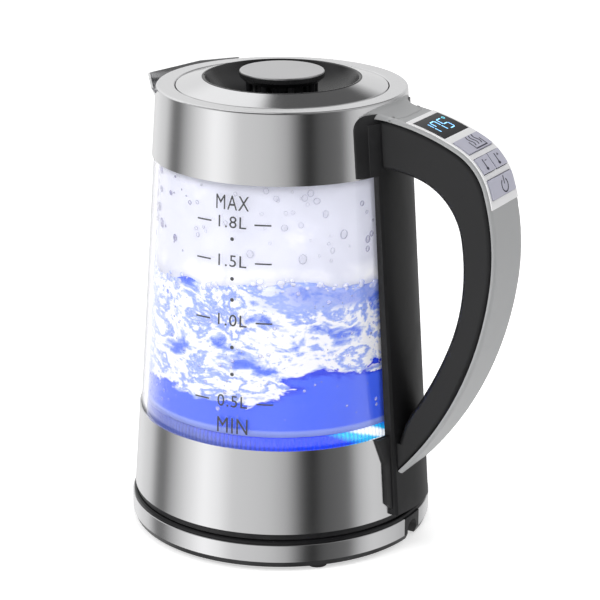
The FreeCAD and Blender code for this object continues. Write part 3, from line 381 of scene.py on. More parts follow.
@dataclass(frozen=True)
class ClearGlass(Finish):
    """Clear drawn glass with a faint cool tint and painted shade at its turned-away edges."""

    colour: Colour = (0.97, 0.97, 1.0)
    edge: Colour = (0.62, 0.62, 0.72)
    roughness: float = 0.0

    def fill(self, sheet: NodeSheet, skin: bpy.types.Node) -> None:
        """Plain transmission, with light let straight through for shadows."""
        marks = use_effect(sheet, Effect.SMUDGE, Size=20.0)
        rough = sheet.maths("ADD", sheet.maths("MULTIPLY", marks.outputs["Mask"], 0.02), self.roughness)
        # Painted shade: the tone darkens toward edges that turn away from the view.
        facing = sheet.add("ShaderNodeLayerWeight", {"Blend": 0.5}).outputs["Facing"]
        tone = sheet.ramp(facing, [(0.0, self.colour), (0.72, self.colour), (0.9, self.edge),
                                   (1.0, self.edge)])
        sheet.tree.links.new(tone, skin.inputs["Base Color"])
        sheet.tree.links.new(rough, skin.inputs["Roughness"])
        skin.inputs["Transmission Weight"].default_value = 1.0
        skin.inputs["IOR"].default_value = 1.45
        let_through_shadow(sheet, skin)


def let_through_shadow(sheet: NodeSheet, skin: bpy.types.Node) -> None:
    """Make a clear material cast no dark shadow. Args: sheet: its sheet. skin: its Principled BSDF."""
    clear = sheet.add("ShaderNodeBsdfTransparent")
    path = sheet.add("ShaderNodeLightPath")
    both = sheet.add("ShaderNodeMixShader", {"Fac": path.outputs["Is Shadow Ray"]})
    sheet.tree.links.new(skin.outputs["BSDF"], both.inputs[1])
    sheet.tree.links.new(clear.outputs["BSDF"], both.inputs[2])
    out = sheet.tree.nodes["Material Output"]
    sheet.tree.links.new(both.outputs["Shader"], out.inputs["Surface"])


STEEL = BrushedSteel("steel_brushed")
STEEL_FINE = BrushedSteel("steel_fine", roughness=0.12, depth=0.03, fleck=0.10)
STEEL_KNOB = BrushedSteel("steel_knob", colour=(0.72, 0.72, 0.73), roughness=0.30, depth=0.05, fleck=0.15)
BLACK = MouldedPlastic("plastic_black")
BLACK_BASE = MouldedPlastic("plastic_black_base", colour=(0.007, 0.007, 0.008), roughness=0.32, specular=0.3)
BLACK_SATIN = MouldedPlastic("plastic_black_satin", colour=(0.012, 0.012, 0.013), roughness=0.26, depth=0.01,
                             specular=0.6)
BLACK_GLOSS = MouldedPlastic("plastic_black_gloss", colour=(0.006, 0.006, 0.008), roughness=0.07, depth=0.0,
                             worn=(0.01, 0.01, 0.012), specular=0.5)
SILVER = SatinMetal("cover_silver", colour=(0.44, 0.445, 0.45), roughness=0.45, metallic=0.35)
PANEL = SatinMetal("panel_silver", colour=(0.86, 0.86, 0.87), roughness=0.32, metallic=0.2)
KEY = SatinMetal("key_silver", colour=(0.56, 0.56, 0.66), roughness=0.34, metallic=0.35)
GLASS = ClearGlass("glass_clear")
RUBBER = MouldedPlastic("rubber_black", colour=(0.02, 0.02, 0.02), roughness=0.8)
SILICONE = MouldedPlastic("silicone_milky", colour=(0.75, 0.78, 0.85), roughness=0.45, worn=(0.85, 0.86, 0.9))
PALE = MouldedPlastic("plastic_pale", colour=(0.5, 0.5, 0.46), roughness=0.5, worn=(0.6, 0.6, 0.56))
BOARD = MouldedPlastic("board_green", colour=(0.01, 0.10, 0.04), roughness=0.4, worn=(0.1, 0.3, 0.15))
BRASS = SatinMetal("brass_bright", colour=(0.80, 0.60, 0.28), roughness=0.25, metallic=1.0)
ALUMINIUM = SatinMetal("aluminium_plain", colour=(0.72, 0.72, 0.73), roughness=0.4, metallic=1.0)
SHEATH = SatinMetal("sheath_dark", colour=(0.25, 0.24, 0.23), roughness=0.5, metallic=1.0)
ZINC = SatinMetal("zinc_bright", colour=(0.7, 0.7, 0.7), roughness=0.25, metallic=1.0)
LIGHT_PART = MouldedPlastic("light_guide", colour=(0.35, 0.5, 1.0), roughness=0.2, worn=(0.6, 0.7, 1.0))

CAD_FINISHES: dict[Finish, tuple[str, ...]] = {
    STEEL: ("jug_skirt", "top_collar", "spout", "base_band"),
    STEEL_FINE: ("lid_steel_ring", "heating_plate", "lid_inner_plate", "strainer", "temperature_sensor"),
    STEEL_KNOB: ("knob_cap",),
    BLACK: ("upper_saddle", "lower_saddle", "handle_strip", "handle_grip", "liner_ring", "lid_body",
            "lid_boss", "jug_connector", "key_switches", "display_module"),
    BLACK_BASE: ("base_tray", "base_shell", "cord_outlet", "base_socket", "contact_collar",
                 "jug_bottom_cover", "knob_posts"),
    BLACK_SATIN: ("lid_bowl", "knob_body"),
    BLACK_GLOSS: ("display_window",),
    SILVER: ("handle_cover",),
    PANEL: ("control_panel",),
    KEY: ("keep_warm_button", "temp_down_button", "temp_up_button", "power_button"),
    GLASS: ("glass_jug",),
    RUBBER: ("base_feet", "base_grip_ring"),
    SILICONE: ("glass_foot_seal", "glass_head_seal", "lid_seal"),
    PALE: ("cord_clamp", "plate_ring", "plate_posts"),
    BOARD: ("led_board", "control_board"),
    BRASS: ("socket_ring_contact", "socket_centre_contact", "connector_pin", "connector_ring"),
    LIGHT_PART: ("ribbed_light_ring", "light_guide", "leds"),
    ALUMINIUM: ("heat_spreader",),
    SHEATH: ("heating_element",),
    ZINC: ("clamp_screws", "bottom_screws"),
}


def dress(item: bpy.types.Object, finish: Finish) -> None:
    """Give an object one finish. Args: item: the object. finish: its finish."""
    item.data.materials.clear()
    item.data.materials.append(finish.material())


# ---------- shape helpers ----------

def add_piece(name: str, form: bmesh.types.BMesh, finish: Finish, smooth: bool = True) -> bpy.types.Object:
    """Turn a worked form into an object with its finish.

    Args:
        name: the object's name.
        form: the form; it is freed here.
        finish: its finish.
        smooth: shade it smoothly.
    Returns:
        The object, at the origin.
    """
    bmesh.ops.remove_doubles(form, verts=form.verts, dist=MERGE)
    bmesh.ops.recalc_face_normals(form, faces=form.faces)
    mesh = bpy.data.meshes.new(name)
    form.to_mesh(mesh)
    form.free()
    if smooth:
        mesh.shade_smooth()
    item = bpy.data.objects.new(name, mesh)
    bpy.context.scene.collection.objects.link(item)
    item.data.materials.append(finish.material())
    return item


def add_to(form: bmesh.types.BMesh, extra: bmesh.types.BMesh) -> None:
    """Copy a small form into a larger one. Args: form: the larger. extra: the smaller; it is freed here."""
    mesh = bpy.data.meshes.new("extra")
    extra.to_mesh(mesh)
    extra.free()
    form.from_mesh(mesh)
    bpy.data.meshes.remove(mesh)


def turned_form(outline: Sequence[Point], steps: int = 192) -> bmesh.types.BMesh:
    """Spin an outline of (radius, height) in metres about Z.

    Args:
        outline: the corners; close it by ending on the axis or repeating the first corner.
        steps: how many steps round.
    Returns:
        The form.
    """
    form = bmesh.new()
    verts = [form.verts.new((radius, 0.0, height)) for radius, height in outline]
    edges = [form.edges.new(pair) for pair in zip(verts, verts[1:])]
    bmesh.ops.spin(form, geom=verts + edges, cent=(0, 0, 0), axis=(0, 0, 1), angle=2 * math.pi, steps=steps,
                   use_merge=True)
    bmesh.ops.remove_doubles(form, verts=form.verts, dist=MERGE)
    return form


@dataclass(frozen=True)
class Cone:
    """A round wall whose radius changes evenly with height."""

    low: float
    low_radius: float
    high: float
    high_radius: float

    def radius(self, height: float) -> float:
        """Returns the wall's radius at a height, in metres."""
        share = (height - self.low) / (self.high - self.low)
        return self.low_radius + (self.high_radius - self.low_radius) * share

    def point(self, turn: float, height: float, proud: float = 0.0) -> Vector:
        """Point on the wall.

        Args:
            turn: angle about Z from +X, degrees.
            height: height in metres.
            proud: distance out from the wall.
        Returns:
            The point.
        """
        reach = self.radius(height) + proud
        angle = math.radians(turn)
        return Vector((reach * math.cos(angle), reach * math.sin(angle), height))


def wall_of(node: str, outside: bool = True) -> Cone:
    """The outer or inner wall of a turned CAD node.

    Args:
        node: the node's name.
        outside: take the outer wall.
    Returns:
        The wall as a cone.
    """
    points = [vertex.co for vertex in frame["nodes"][node].data.vertices]
    low, high = min(p.z for p in points), max(p.z for p in points)
    pick = max if outside else min
    ends = []
    for level in (low, high):
        ends.append(pick(math.hypot(p.x, p.y) for p in points if abs(p.z - level) < SAME_LEVEL))
    return Cone(low, ends[0], high, ends[1])


@dataclass(frozen=True)
class Seat:
    """A flat place to lay a mark on: its middle and its three directions."""

    middle: Vector
    right: Vector
    up: Vector
    out: Vector

    def matrix(self, lift: float = 0.0) -> Matrix:
        """Returns the transform from a mark's own plane to the seat. Args: lift: distance above it."""
        turn = Matrix((self.right, self.up, self.out)).transposed().to_4x4()
        return Matrix.Translation(self.middle + self.out * lift) @ turn


def seat_on(node: str, out: Vector) -> Seat:
    """The place on a CAD node that faces a direction in the XZ plane, read from the handle's end.

    Args:
        node: the node's name.
        out: the direction it faces.
    Returns:
        The seat.
    """
    points = [vertex.co for vertex in frame["nodes"][node].data.vertices]
    top = max(p.dot(out) for p in points)
    right = Vector((0.0, 1.0, 0.0))
    up = out.cross(right)
    low = Vector([min(p.dot(way) for p in points) for way in (right, up)])
    high = Vector([max(p.dot(way) for p in points) for way in (right, up)])
    middle = right * (low[0] + high[0]) / 2 + up * (low[1] + high[1]) / 2 + out * top
    return Seat(middle, right, up, out)


def raise_face(form: bmesh.types.BMesh, thick: float) -> None:
    """Give a flat form a thickness along Z. Args: form: the form. thick: the thickness in metres."""
    raised = bmesh.ops.extrude_face_region(form, geom=form.faces[:])
    verts = [part for part in raised["geom"] if isinstance(part, bmesh.types.BMVert)]
    bmesh.ops.translate(form, verts=verts, vec=(0, 0, thick))


def text_form(words: str, tall: float, thick: float, wide: float, spacing: float) -> bmesh.types.BMesh:
    """Letters as a thin solid, centred on the origin, reading along X with Y up.

    Args:
        words: the letters.
        tall: their height in metres.
        thick: their thickness in metres.
        wide: their whole width.
        spacing: spacing between letters.
    Returns:
        The form.
    """
    curve = bpy.data.curves.new("letters", "FONT")
    curve.body = words
    curve.space_character = spacing
    curve.resolution_u = 4
    item = bpy.data.objects.new("letters", curve)
    bpy.context.scene.collection.objects.link(item)
    mesh = bpy.data.meshes.new_from_object(item)
    form = bmesh.new()
    form.from_mesh(mesh)
    bpy.data.objects.remove(item)
    bpy.data.curves.remove(curve)
    bpy.data.meshes.remove(mesh)
    xs = [v.co.x for v in form.verts]
    ys = [v.co.y for v in form.verts]
    grow = tall / (max(ys) - min(ys))
    along = wide / (max(xs) - min(xs))
    bmesh.ops.translate(form, verts=form.verts, vec=(-(max(xs) + min(xs)) / 2, -(max(ys) + min(ys)) / 2, 0))
    bmesh.ops.scale(form, verts=form.verts, vec=(along, grow, 1.0))
    raise_face(form, thick)
    return form


def bar_form(start: Point, end: Point, wide: float, thick: float, form: bmesh.types.BMesh | None = None
             ) -> bmesh.types.BMesh:
    """A thin straight stroke in the XY plane.

    Args:
        start: where it starts.
        end: where it ends.
        wide: its width.
        thick: its thickness.
        form: a form to add it to.
    Returns:
        The form.
    """
    form = form or bmesh.new()
    first, last = Vector((*start, 0.0)), Vector((*end, 0.0))
    along = last - first
    turn = Matrix.Rotation(math.atan2(along.y, along.x), 4, "Z")
    size = Matrix.Diagonal((along.length + wide * 0.6, wide, thick, 1.0))
    place = Matrix.Translation((first + last) / 2 + Vector((0, 0, thick / 2)))
    bmesh.ops.create_cube(form, size=1.0, matrix=place @ turn @ size)
    return form


def stroke_form(points: Sequence[Point], wide: float, thick: float, form: bmesh.types.BMesh | None = None
                ) -> bmesh.types.BMesh:
    """A thin bent stroke through points. Args as for bar_form. Returns: the form."""
    form = form or bmesh.new()
    for start, end in zip(points, points[1:]):
        bar_form(start, end, wide, thick, form)
    return form


def laid_on(form: bmesh.types.BMesh, seat: Seat, lift: float) -> bmesh.types.BMesh:
    """Lay a flat form on a seat. Args: form, seat, lift above it. Returns: the form."""
    bmesh.ops.transform(form, matrix=seat.matrix(lift), verts=form.verts)
    return form


# ---------- water, steam and marks ----------

@dataclass(frozen=True)
class BoilingWater(Finish):
    """Churning water with the blue light from below painted into its colour and glow: white swirls above,
    plain deep blue near the plate.
    """

    deep: Colour = (0.0, 0.015, 0.72)
    plain: Colour = (0.06, 0.14, 0.90)
    middle: Colour = (0.12, 0.21, 0.80)
    pale: Colour = (0.42, 0.51, 0.85)
    band_tone: Colour = (0.26, 0.36, 0.84)
    white: Colour = (0.93, 0.93, 0.93)
    across: Direction = (0.87, 0.49, 0.0)
    calm_height: float = 0.1005
    band_height: float = 0.131
    band_cover: float = 0.8
    glow: float = 0.10

    def fill(self, sheet: NodeSheet, skin: bpy.types.Node) -> None:
        """Swirls by warped noise, graded by height and from side to side."""
        place = sheet.add("ShaderNodeTexCoord").outputs["Object"]
        height = sheet.add("ShaderNodeSeparateXYZ", {"Vector": place}).outputs["Z"]
        across = sheet.add("ShaderNodeVectorMath", {0: place, 1: self.across}, operation="DOT_PRODUCT")
        side = sheet.maths("MULTIPLY", sheet.maths("ADD", across.outputs["Value"], 0.022), 28.0, True)
        warp = sheet.noise(place, 22.0, 2.0, Distortion=0.3)
        shift = sheet.add("ShaderNodeVectorMath", {0: warp.outputs["Color"], 1: (0.030, 0.030, 0.016)},
                          operation="MULTIPLY")
        moved = sheet.add("ShaderNodeVectorMath", {0: place, 1: shift.outputs[0]}, operation="ADD")
        flat = sheet.add("ShaderNodeMapping", {"Vector": moved.outputs[0], "Scale": (1.0, 1.0, 1.8)})
        swirl = sheet.noise(flat.outputs[0], 48.0, 5.0, Roughness=0.62, Distortion=0.2)
        broad = sheet.noise(flat.outputs[0], 19.0, 2.0)
        churn = sheet.maths("ADD", sheet.maths("MULTIPLY", swirl.outputs["Fac"], 0.6),
                            sheet.maths("MULTIPLY", broad.outputs["Fac"], 0.4))
        upper = sheet.ramp(churn, [(0.36, self.plain), (0.41, self.middle), (0.445, self.pale),
                                   (0.475, self.white), (0.51, self.white), (0.528, self.pale),
                                   (0.545, self.band_tone), (0.56, self.pale), (0.575, self.white),
                                   (0.62, self.white), (0.66, self.pale)])
        band = sheet.maths("MULTIPLY", sheet.maths("SUBTRACT", height, self.band_height), 260.0, True)
        band = sheet.maths("MULTIPLY", sheet.maths("MULTIPLY", band, side), self.band_cover)
        tint = sheet.ramp(swirl.outputs["Fac"], [(0.38, self.middle), (0.5, self.band_tone),
                                                 (0.62, self.pale)])
        upper = sheet.mix(band, upper, tint)
        ripple = sheet.maths("MULTIPLY", sheet.maths("SUBTRACT", churn, 0.5), 0.05)
        slope = sheet.maths("MULTIPLY", sheet.maths("SUBTRACT", 1.0, side), 0.014)
        level = sheet.maths("ADD", sheet.maths("ADD", height, ripple), slope)
        depth = sheet.maths("SUBTRACT", self.calm_height, level)
        calm = sheet.maths("MULTIPLY", depth, 700.0, True)
        lower = sheet.ramp(churn, [(0.38, self.plain), (0.6, self.plain), (0.68, self.pale)])
        edge = sheet.mask(sheet.maths("MULTIPLY", depth, 110.0, True), [(0.0, 0.5), (0.12, 1.0), (0.55, 0.0)])
        colour = sheet.mix(calm, upper, sheet.mix(sheet.maths("MULTIPLY", edge, side), lower, self.deep))
        # Painted light: the water just above the lit ring is made paler.
        ring_light_pool = sheet.maths("MULTIPLY", sheet.maths("SUBTRACT", 0.0722, height), 900.0, True)
        colour = sheet.mix(sheet.maths("MULTIPLY", ring_light_pool, 0.55), colour, self.pale)
        # Painted light: the blue of the lit water goes to the colour and also to a glow, though the water is
        # no lamp.
        sheet.tree.links.new(colour, skin.inputs["Base Color"])
        sheet.tree.links.new(colour, skin.inputs["Emission Color"])
        skin.inputs["Emission Strength"].default_value = self.glow
        skin.inputs["Roughness"].default_value = 0.25
        skin.inputs["IOR"].default_value = 1.33
        bump = sheet.add("ShaderNodeBump", {"Strength": 0.35, "Distance": 0.001, "Height": churn})
        sheet.tree.links.new(bump.outputs["Normal"], skin.inputs["Normal"])


@dataclass(frozen=True)
class SteamFilm(Finish):
    """Fine mist on the inside of the glass."""

    colour: Colour = (0.72, 0.73, 0.80)
    cover: float = 0.97
    glow: float = 0.24
    splash_height: float = 0.155

    def fill(self, sheet: NodeSheet, skin: bpy.types.Node) -> None:
        """Patchy cover and a painted glow that stands in for the light the mist scatters."""
        place = sheet.add("ShaderNodeTexCoord").outputs["Object"]
        patch = sheet.noise(place, 30.0, 3.0, Distortion=0.6)
        tone = sheet.ramp(patch.outputs["Fac"], [(0.35, toned(self.colour, 0.95)), (0.6, self.colour),
                                                 (0.75, (0.86, 0.86, 0.93))])
        height = sheet.add("ShaderNodeSeparateXYZ", {"Vector": place}).outputs["Z"]
        low = sheet.maths("MULTIPLY", sheet.maths("SUBTRACT", self.splash_height, height), 110.0, True)
        splash = sheet.maths("MULTIPLY", low, sheet.mask(patch.outputs["Fac"], [(0.4, 0.0), (0.55, 1.0)]))
        tone = sheet.mix(splash, tone, (0.97, 0.97, 0.97))
        sheet.tree.links.new(tone, skin.inputs["Base Color"])
        sheet.tree.links.new(tone, skin.inputs["Emission Color"])
        cover = sheet.maths("MULTIPLY", patch.outputs["Fac"], 0.1)
        cover = sheet.maths("ADD", cover, self.cover - 0.05, True)
        sheet.tree.links.new(cover, skin.inputs["Alpha"])
        # Painted light: a glow brightens the mist, which is no lamp.
        skin.inputs["Emission Strength"].default_value = self.glow
        skin.inputs["Roughness"].default_value = 0.7
        skin.inputs["Specular IOR Level"].default_value = 0.1


@dataclass(frozen=True)
class ClearBead(Finish):
    """A clear drop or bubble whose edge shows darker as painted shade, with a painted glow."""

    middle: Colour = (0.97, 0.97, 1.0)
    edge: Colour = (0.17, 0.16, 0.36)
    glow: float = 0.05
    thin: float = 0.06

    def fill(self, sheet: NodeSheet, skin: bpy.types.Node) -> None:
        """Cover and colour by how far the surface turns away."""
        # Painted shade and light: the middle is painted pale and the rim dark by how far the surface turns
        # from the view.
        facing = sheet.add("ShaderNodeLayerWeight", {"Blend": 0.45}).outputs["Facing"]
        tone = sheet.ramp(facing, [(0.0, self.middle), (0.15, self.middle), (0.45, self.edge),
                                   (1.0, self.edge)])
        cover = sheet.mask(facing, [(0.0, self.thin), (0.2, self.thin + 0.05), (0.5, 0.75), (1.0, 0.9)])
        sheet.tree.links.new(tone, skin.inputs["Base Color"])
        sheet.tree.links.new(tone, skin.inputs["Emission Color"])
        sheet.tree.links.new(cover, skin.inputs["Alpha"])
        # Painted light: a faint glow, though a bead is no lamp.
        skin.inputs["Emission Strength"].default_value = self.glow
        skin.inputs["Roughness"].default_value = 0.05


@dataclass(frozen=True)
class PrintedInk(Finish):
    """Fired grey print, slightly uneven."""

    colour: Colour = (0.06, 0.06, 0.065)

    def fill(self, sheet: NodeSheet, skin: bpy.types.Node) -> None:
        """Faint unevenness in tone and gloss."""
        place = sheet.add("ShaderNodeTexCoord").outputs["Object"]
        noise = sheet.add("ShaderNodeTexNoise", {"Vector": place, "Scale": 900.0, "Detail": 2.0})
        tone = sheet.ramp(noise.outputs["Fac"], [(0.3, tuple(c * 0.8 for c in self.colour)),
                                                 (0.7, tuple(c * 1.5 for c in self.colour))])
        sheet.tree.links.new(tone, skin.inputs["Base Color"])
        skin.inputs["Roughness"].default_value = 0.5


@dataclass(frozen=True)
class LitSegments(Finish):
    """Lit display strokes behind the lens."""

    colour: Colour = (0.22, 0.52, 1.0)
    power: float = 1.6

    def fill(self, sheet: NodeSheet, skin: bpy.types.Node) -> None:
        """An even glow with a little mottle."""
        place = sheet.add("ShaderNodeTexCoord").outputs["Object"]
        noise = sheet.add("ShaderNodeTexNoise", {"Vector": place, "Scale": 700.0, "Detail": 1.0})
        tone = sheet.ramp(noise.outputs["Fac"], [(0.3, tuple(c * 0.8 for c in self.colour)),
                                                 (0.7, tuple(min(1.0, c * 1.3) for c in self.colour))])
        sheet.tree.links.new(tone, skin.inputs["Base Color"])
        sheet.tree.links.new(tone, skin.inputs["Emission Color"])
        skin.inputs["Emission Strength"].default_value = self.power


WATER = BoilingWater("water_boiling")
STEAM = SteamFilm("steam_film")
DROP = ClearBead("drop_clear")
# The blue rims and glow of bubbles and foam are painted light from the lit water.
BUBBLE = ClearBead("bubble_clear", edge=(0.16, 0.26, 0.90), glow=0.1, thin=0.25)
FOAM = ClearBead("foam_white", edge=(0.40, 0.50, 0.98), glow=0.1, thin=0.6)
INK = PrintedInk("ink_grey")
KEY_INK = PrintedInk("ink_key", colour=(0.03, 0.03, 0.05))
LIT = LitSegments("segments_blue")
LIT_MARK = LitSegments("segments_teal", colour=(0.2, 0.65, 0.75), power=0.9)


@dataclass
class JugContents:
    """Boiling water, its bubbles and the mist and drops on the glass above it."""

    waterline: float = 0.1435
    wave: float = 0.0045
    gap: float = 0.0006
    foot_radius: float = 0.0662
    top_shares: tuple[float, ...] = (0.97, 0.93, 0.85, 0.75, 0.62, 0.5, 0.35, 0.2, 0.1)
    mist_gap: float = 0.0011
    drop_count: int = 210
    bubble_count: int = 420
    foam_count: int = 260
    seed: int = 7
    inner: Cone = field(default_factory=lambda: wall_of("glass_jug", outside=False))

    def surface(self, turn: float) -> float:
        """Returns the waterline's height at an angle about Z in degrees."""
        angle = math.radians(turn)
        swell = (math.sin(3 * angle + 4.7) * 0.55 + math.sin(7 * angle + 1.9) * 0.22
                 + math.sin(13 * angle + 0.4) * 0.16 + math.sin(23 * angle) * 0.10)
        return self.waterline + self.wave * swell

    def water(self) -> bpy.types.Object:
        """Returns the body of water, with a waved top."""
        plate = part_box("heating_plate")[1][2]
        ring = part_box("ribbed_light_ring")
        seal_top = ring[0][2]
        inside = 2 * self.inner.radius(ring[1][2]) - ring[1][0] - 2.6 * MM
        top = self.waterline
        low = plate + 0.1 * MM
        outline = [(0.0, low), (self.foot_radius, low), (self.foot_radius, seal_top), (inside, seal_top),
                   (inside, ring[1][2] + 0.2 * MM)]
        start = ring[1][2] + 0.6 * MM
        for index in range(25):
            height = start + (top - start) * index / 24
            outline.append((self.inner.radius(height) - self.gap, height))
        edge = self.inner.radius(top) - self.gap
        outline += [(edge * share, top - 0.2 * MM) for share in self.top_shares]
        outline.append((0.0, top - 0.2 * MM))
        form = turned_form(outline, 180)
        rng = random.Random(self.seed)
        phase = [rng.uniform(0, 6.3) for _ in range(4)]
        for vert in form.verts:
            x, y, z = vert.co
            if z < start:
                continue
            share = (z - start) / (top - start)
            turn = math.degrees(math.atan2(y, x))
            rise = (self.surface(turn) - top) * share ** 2
            reach = math.hypot(x, y)
            if z > top - 0.3 * MM and reach < edge * 0.98:
                rise = (self.surface(turn) - top) * (reach / edge) ** 3
                rise += 2.2 * MM * math.sin(x * 260 + phase[0]) * math.sin(y * 230 + phase[1])
                rise += 1.0 * MM * math.sin(x * 610 + phase[2]) * math.sin(y * 570 + phase[3])
            vert.co.z += rise
            if share > 0 and reach > edge * 0.98:
                grow = (self.inner.radius(vert.co.z) - self.gap) / reach
                vert.co.x *= grow
                vert.co.y *= grow
        return add_piece("water", form, WATER)

    def steam(self) -> bpy.types.Object:
        """Returns the mist on the glass between the waterline and the collar."""
        low, high = self.waterline - 0.012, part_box("glass_head_seal")[0][2]
        outline = []
        for index in range(9):
            height = low + (high - low) * index / 8
            outline.append((self.inner.radius(height) - self.mist_gap, height))
        outline += [(radius - 0.1 * MM, height) for radius, height in reversed(outline)]
        outline.append(outline[0])
        form = turned_form(outline, 180)
        for vert in form.verts:
            x, y, z = vert.co
            inward = self.inner.radius(z) - math.hypot(x, y)
            start = self.surface(math.degrees(math.atan2(y, x))) - 0.5 * MM
            vert.co.z = start + (high - start) * (z - low) / (high - low)
            grow = (self.inner.radius(vert.co.z) - inward) / math.hypot(x, y)
            vert.co.x *= grow
            vert.co.y *= grow
        return add_piece("steam_film", form, STEAM)

    def beads(self, name: str, finish: Finish, places: Iterable[tuple[float, float, float, float, float]],
              proud: float, rings: int = 6) -> bpy.types.Object:
        """Flattened drops or bubbles against the inside of the glass.

        Args:
            name: the object's name.
            finish: its finish.
            places: (turn, height, radius, stretch, sink) for each.
            proud: flattening, as a share of the radius.
            rings: how fine each bead is.
        Returns:
            The object.
        """
        form = bmesh.new()
        for turn, height, radius, stretch, sink in places:
            at = self.inner.point(turn, height, -sink)
            size = Matrix.Diagonal((radius * proud, radius, radius * stretch, 1.0))
            spin = Matrix.Rotation(math.radians(turn), 4, "Z")
            bead = bmesh.new()
            bmesh.ops.create_uvsphere(bead, u_segments=2 * rings, v_segments=rings, radius=1.0,
                                      matrix=Matrix.Translation(at) @ spin @ size)
            add_to(form, bead)
        return add_piece(name, form, finish)

    def drops(self) -> bpy.types.Object:
        """Returns the drops on the misted glass."""
        rng = random.Random(self.seed + 1)
        places = []
        for _ in range(self.drop_count):
            turn = rng.uniform(-180, 180)
            height = rng.uniform(self.waterline + 0.012, 0.193)
            radius = 0.55 * MM + 1.5 * MM * rng.random() ** 2.2
            places.append((turn, height, radius, rng.uniform(0.85, 1.35), 0.5 * MM))
        return self.beads("drops", DROP, places, 0.24, 7)

    def bubbles(self) -> bpy.types.Object:
        """Returns the small bubbles that cling under the surface."""
        rng = random.Random(self.seed + 2)
        places = []
        for _ in range(self.bubble_count):
            turn = rng.uniform(-180, 180)
            height = 0.075 + (self.surface(turn) - 0.080) * rng.random() ** 0.8
            radius = 0.3 * MM + 1.0 * MM * rng.random() ** 3
            places.append((turn, height, radius, 1.0, 0.3 * MM))
        return self.beads("bubbles", BUBBLE, places, 0.2, 5)

    def foam(self) -> bpy.types.Object:
        """Returns the froth along the waterline."""
        rng = random.Random(self.seed + 3)
        places = []
        for _ in range(self.foam_count):
            turn = rng.uniform(-180, 180)
            height = self.surface(turn) + rng.gauss(-1.0, 1.6) * MM
            radius = 0.5 * MM + 1.6 * MM * rng.random() ** 2
            places.append((turn, height, radius, 0.8, 0.5 * MM))
        return self.beads("foam", FOAM, places, 0.2, 6)

    def build(self) -> None:
        """Make the contents and set them in the jug."""
        for item in (self.water(), self.steam(), self.drops(), self.bubbles(), self.foam()):
            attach(item, "jug")
            LOG.info("built %s", item.name)


@dataclass(frozen=True)
class RingGlow(Finish):
    """Ribbed clear ring lit blue, brightest beside the handle."""

    shade: Colour = (0.07, 0.10, 0.36)
    blue: Colour = (0.01, 0.05, 0.80)
    cyan: Colour = (0.01, 0.50, 0.85)
    hot: Colour = (0.95, 1.0, 1.0)
    glow: float = 0.75
    ribs: float = 190.0
    middle: float = 0.0665

    def fill(self, sheet: NodeSheet, skin: bpy.types.Node) -> None:
        """Colour by the angle round the jug, with painted shade in stripes that follow the ribs."""
        place = sheet.add("ShaderNodeTexCoord").outputs["Object"]
        apart = sheet.add("ShaderNodeSeparateXYZ", {"Vector": place})
        angle = sheet.maths("ARCTAN2", apart.outputs["Y"], apart.outputs["X"])
        share = sheet.maths("ADD", sheet.maths("DIVIDE", angle, 2 * math.pi), 0.5)
        noise = sheet.noise(place, 60.0, 2.0)
        waver = sheet.maths("MULTIPLY", sheet.maths("SUBTRACT", noise.outputs["Fac"], 0.5), 0.02)
        share = sheet.maths("ADD", share, waver)
        rise = sheet.maths("MULTIPLY", sheet.maths("SUBTRACT", apart.outputs["Z"], self.middle), 6.0)
        share = sheet.maths("ADD", share, rise)
        tone = sheet.ramp(share, [(0.0, self.shade), (0.22, self.shade), (0.32, self.blue), (0.39, self.blue),
                                  (0.41, self.cyan), (0.424, self.cyan), (0.431, self.hot), (0.449, self.hot),
                                  (0.457, self.cyan), (0.48, self.blue), (0.55, self.blue), (0.8, self.shade),
                                  (1.0, self.shade)])
        # Painted shade: darker stripes that follow the ribs.
        rib_shade = sheet.maths("SINE", sheet.maths("MULTIPLY", angle, self.ribs))
        rib_shade = sheet.maths("MULTIPLY", sheet.maths("SUBTRACT", 0.6, rib_shade), 0.26, True)
        tone = sheet.mix(rib_shade, tone, tuple(c * 0.45 for c in self.shade))
        sheet.tree.links.new(tone, skin.inputs["Base Color"])
        sheet.tree.links.new(tone, skin.inputs["Emission Color"])
        skin.inputs["Emission Strength"].default_value = self.glow
        skin.inputs["Roughness"].default_value = 0.2


RING_GLOW = RingGlow("ring_glow")


@dataclass
class LightRing:
    """The ribbed ring that spreads the light round the jug's foot."""

    ribs: int = 190
    rib_deep: float = 0.4 * MM
    # shares of the ring's thickness
    outer_part: float = 0.55
    inner_start: float = 0.56
    inner_part: float = 0.4
    steps: int = 1140
    rows: int = 10

    def build(self) -> None:
        """Make the ribbed ring in place of the plain one."""
        low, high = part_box("ribbed_light_ring")
        outer = wall_of("ribbed_light_ring")
        thick = outer.radius(low[2]) - wall_of("ribbed_light_ring", outside=False).radius(low[2])
        tall = high[2] - low[2]
        outline = []
        for index in range(self.rows + 1):
            share = index / self.rows
            height = low[2] + tall * share
            belly = math.sin(math.pi * share) ** 0.5
            inset = thick * self.outer_part
            outline.append((outer.radius(height) - inset + inset * belly, height))
        for index in range(self.rows, -1, -1):
            share = index / self.rows
            height = low[2] + tall * share
            dish = thick * self.inner_part * math.sin(math.pi * share)
            outline.append((outer.radius(height) - thick * self.inner_start - dish, height))
        outline.append(outline[0])
        form = turned_form(outline, self.steps)
        for vert in form.verts:
            x, y, z = vert.co
            reach = math.hypot(x, y)
            if reach < outer.radius(z) - thick * self.outer_part:
                continue
            turn = math.atan2(y, x)
            share = (z - low[2]) / tall
            grow = 1 - self.rib_deep * (0.5 + 0.5 * math.sin(self.ribs * turn + 5.0 * share)) / reach
            vert.co.x *= grow
            vert.co.y *= grow
        item = add_piece("light_ring_ribs", form, RING_GLOW)
        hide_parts("ribbed_light_ring")
        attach(item, "jug")


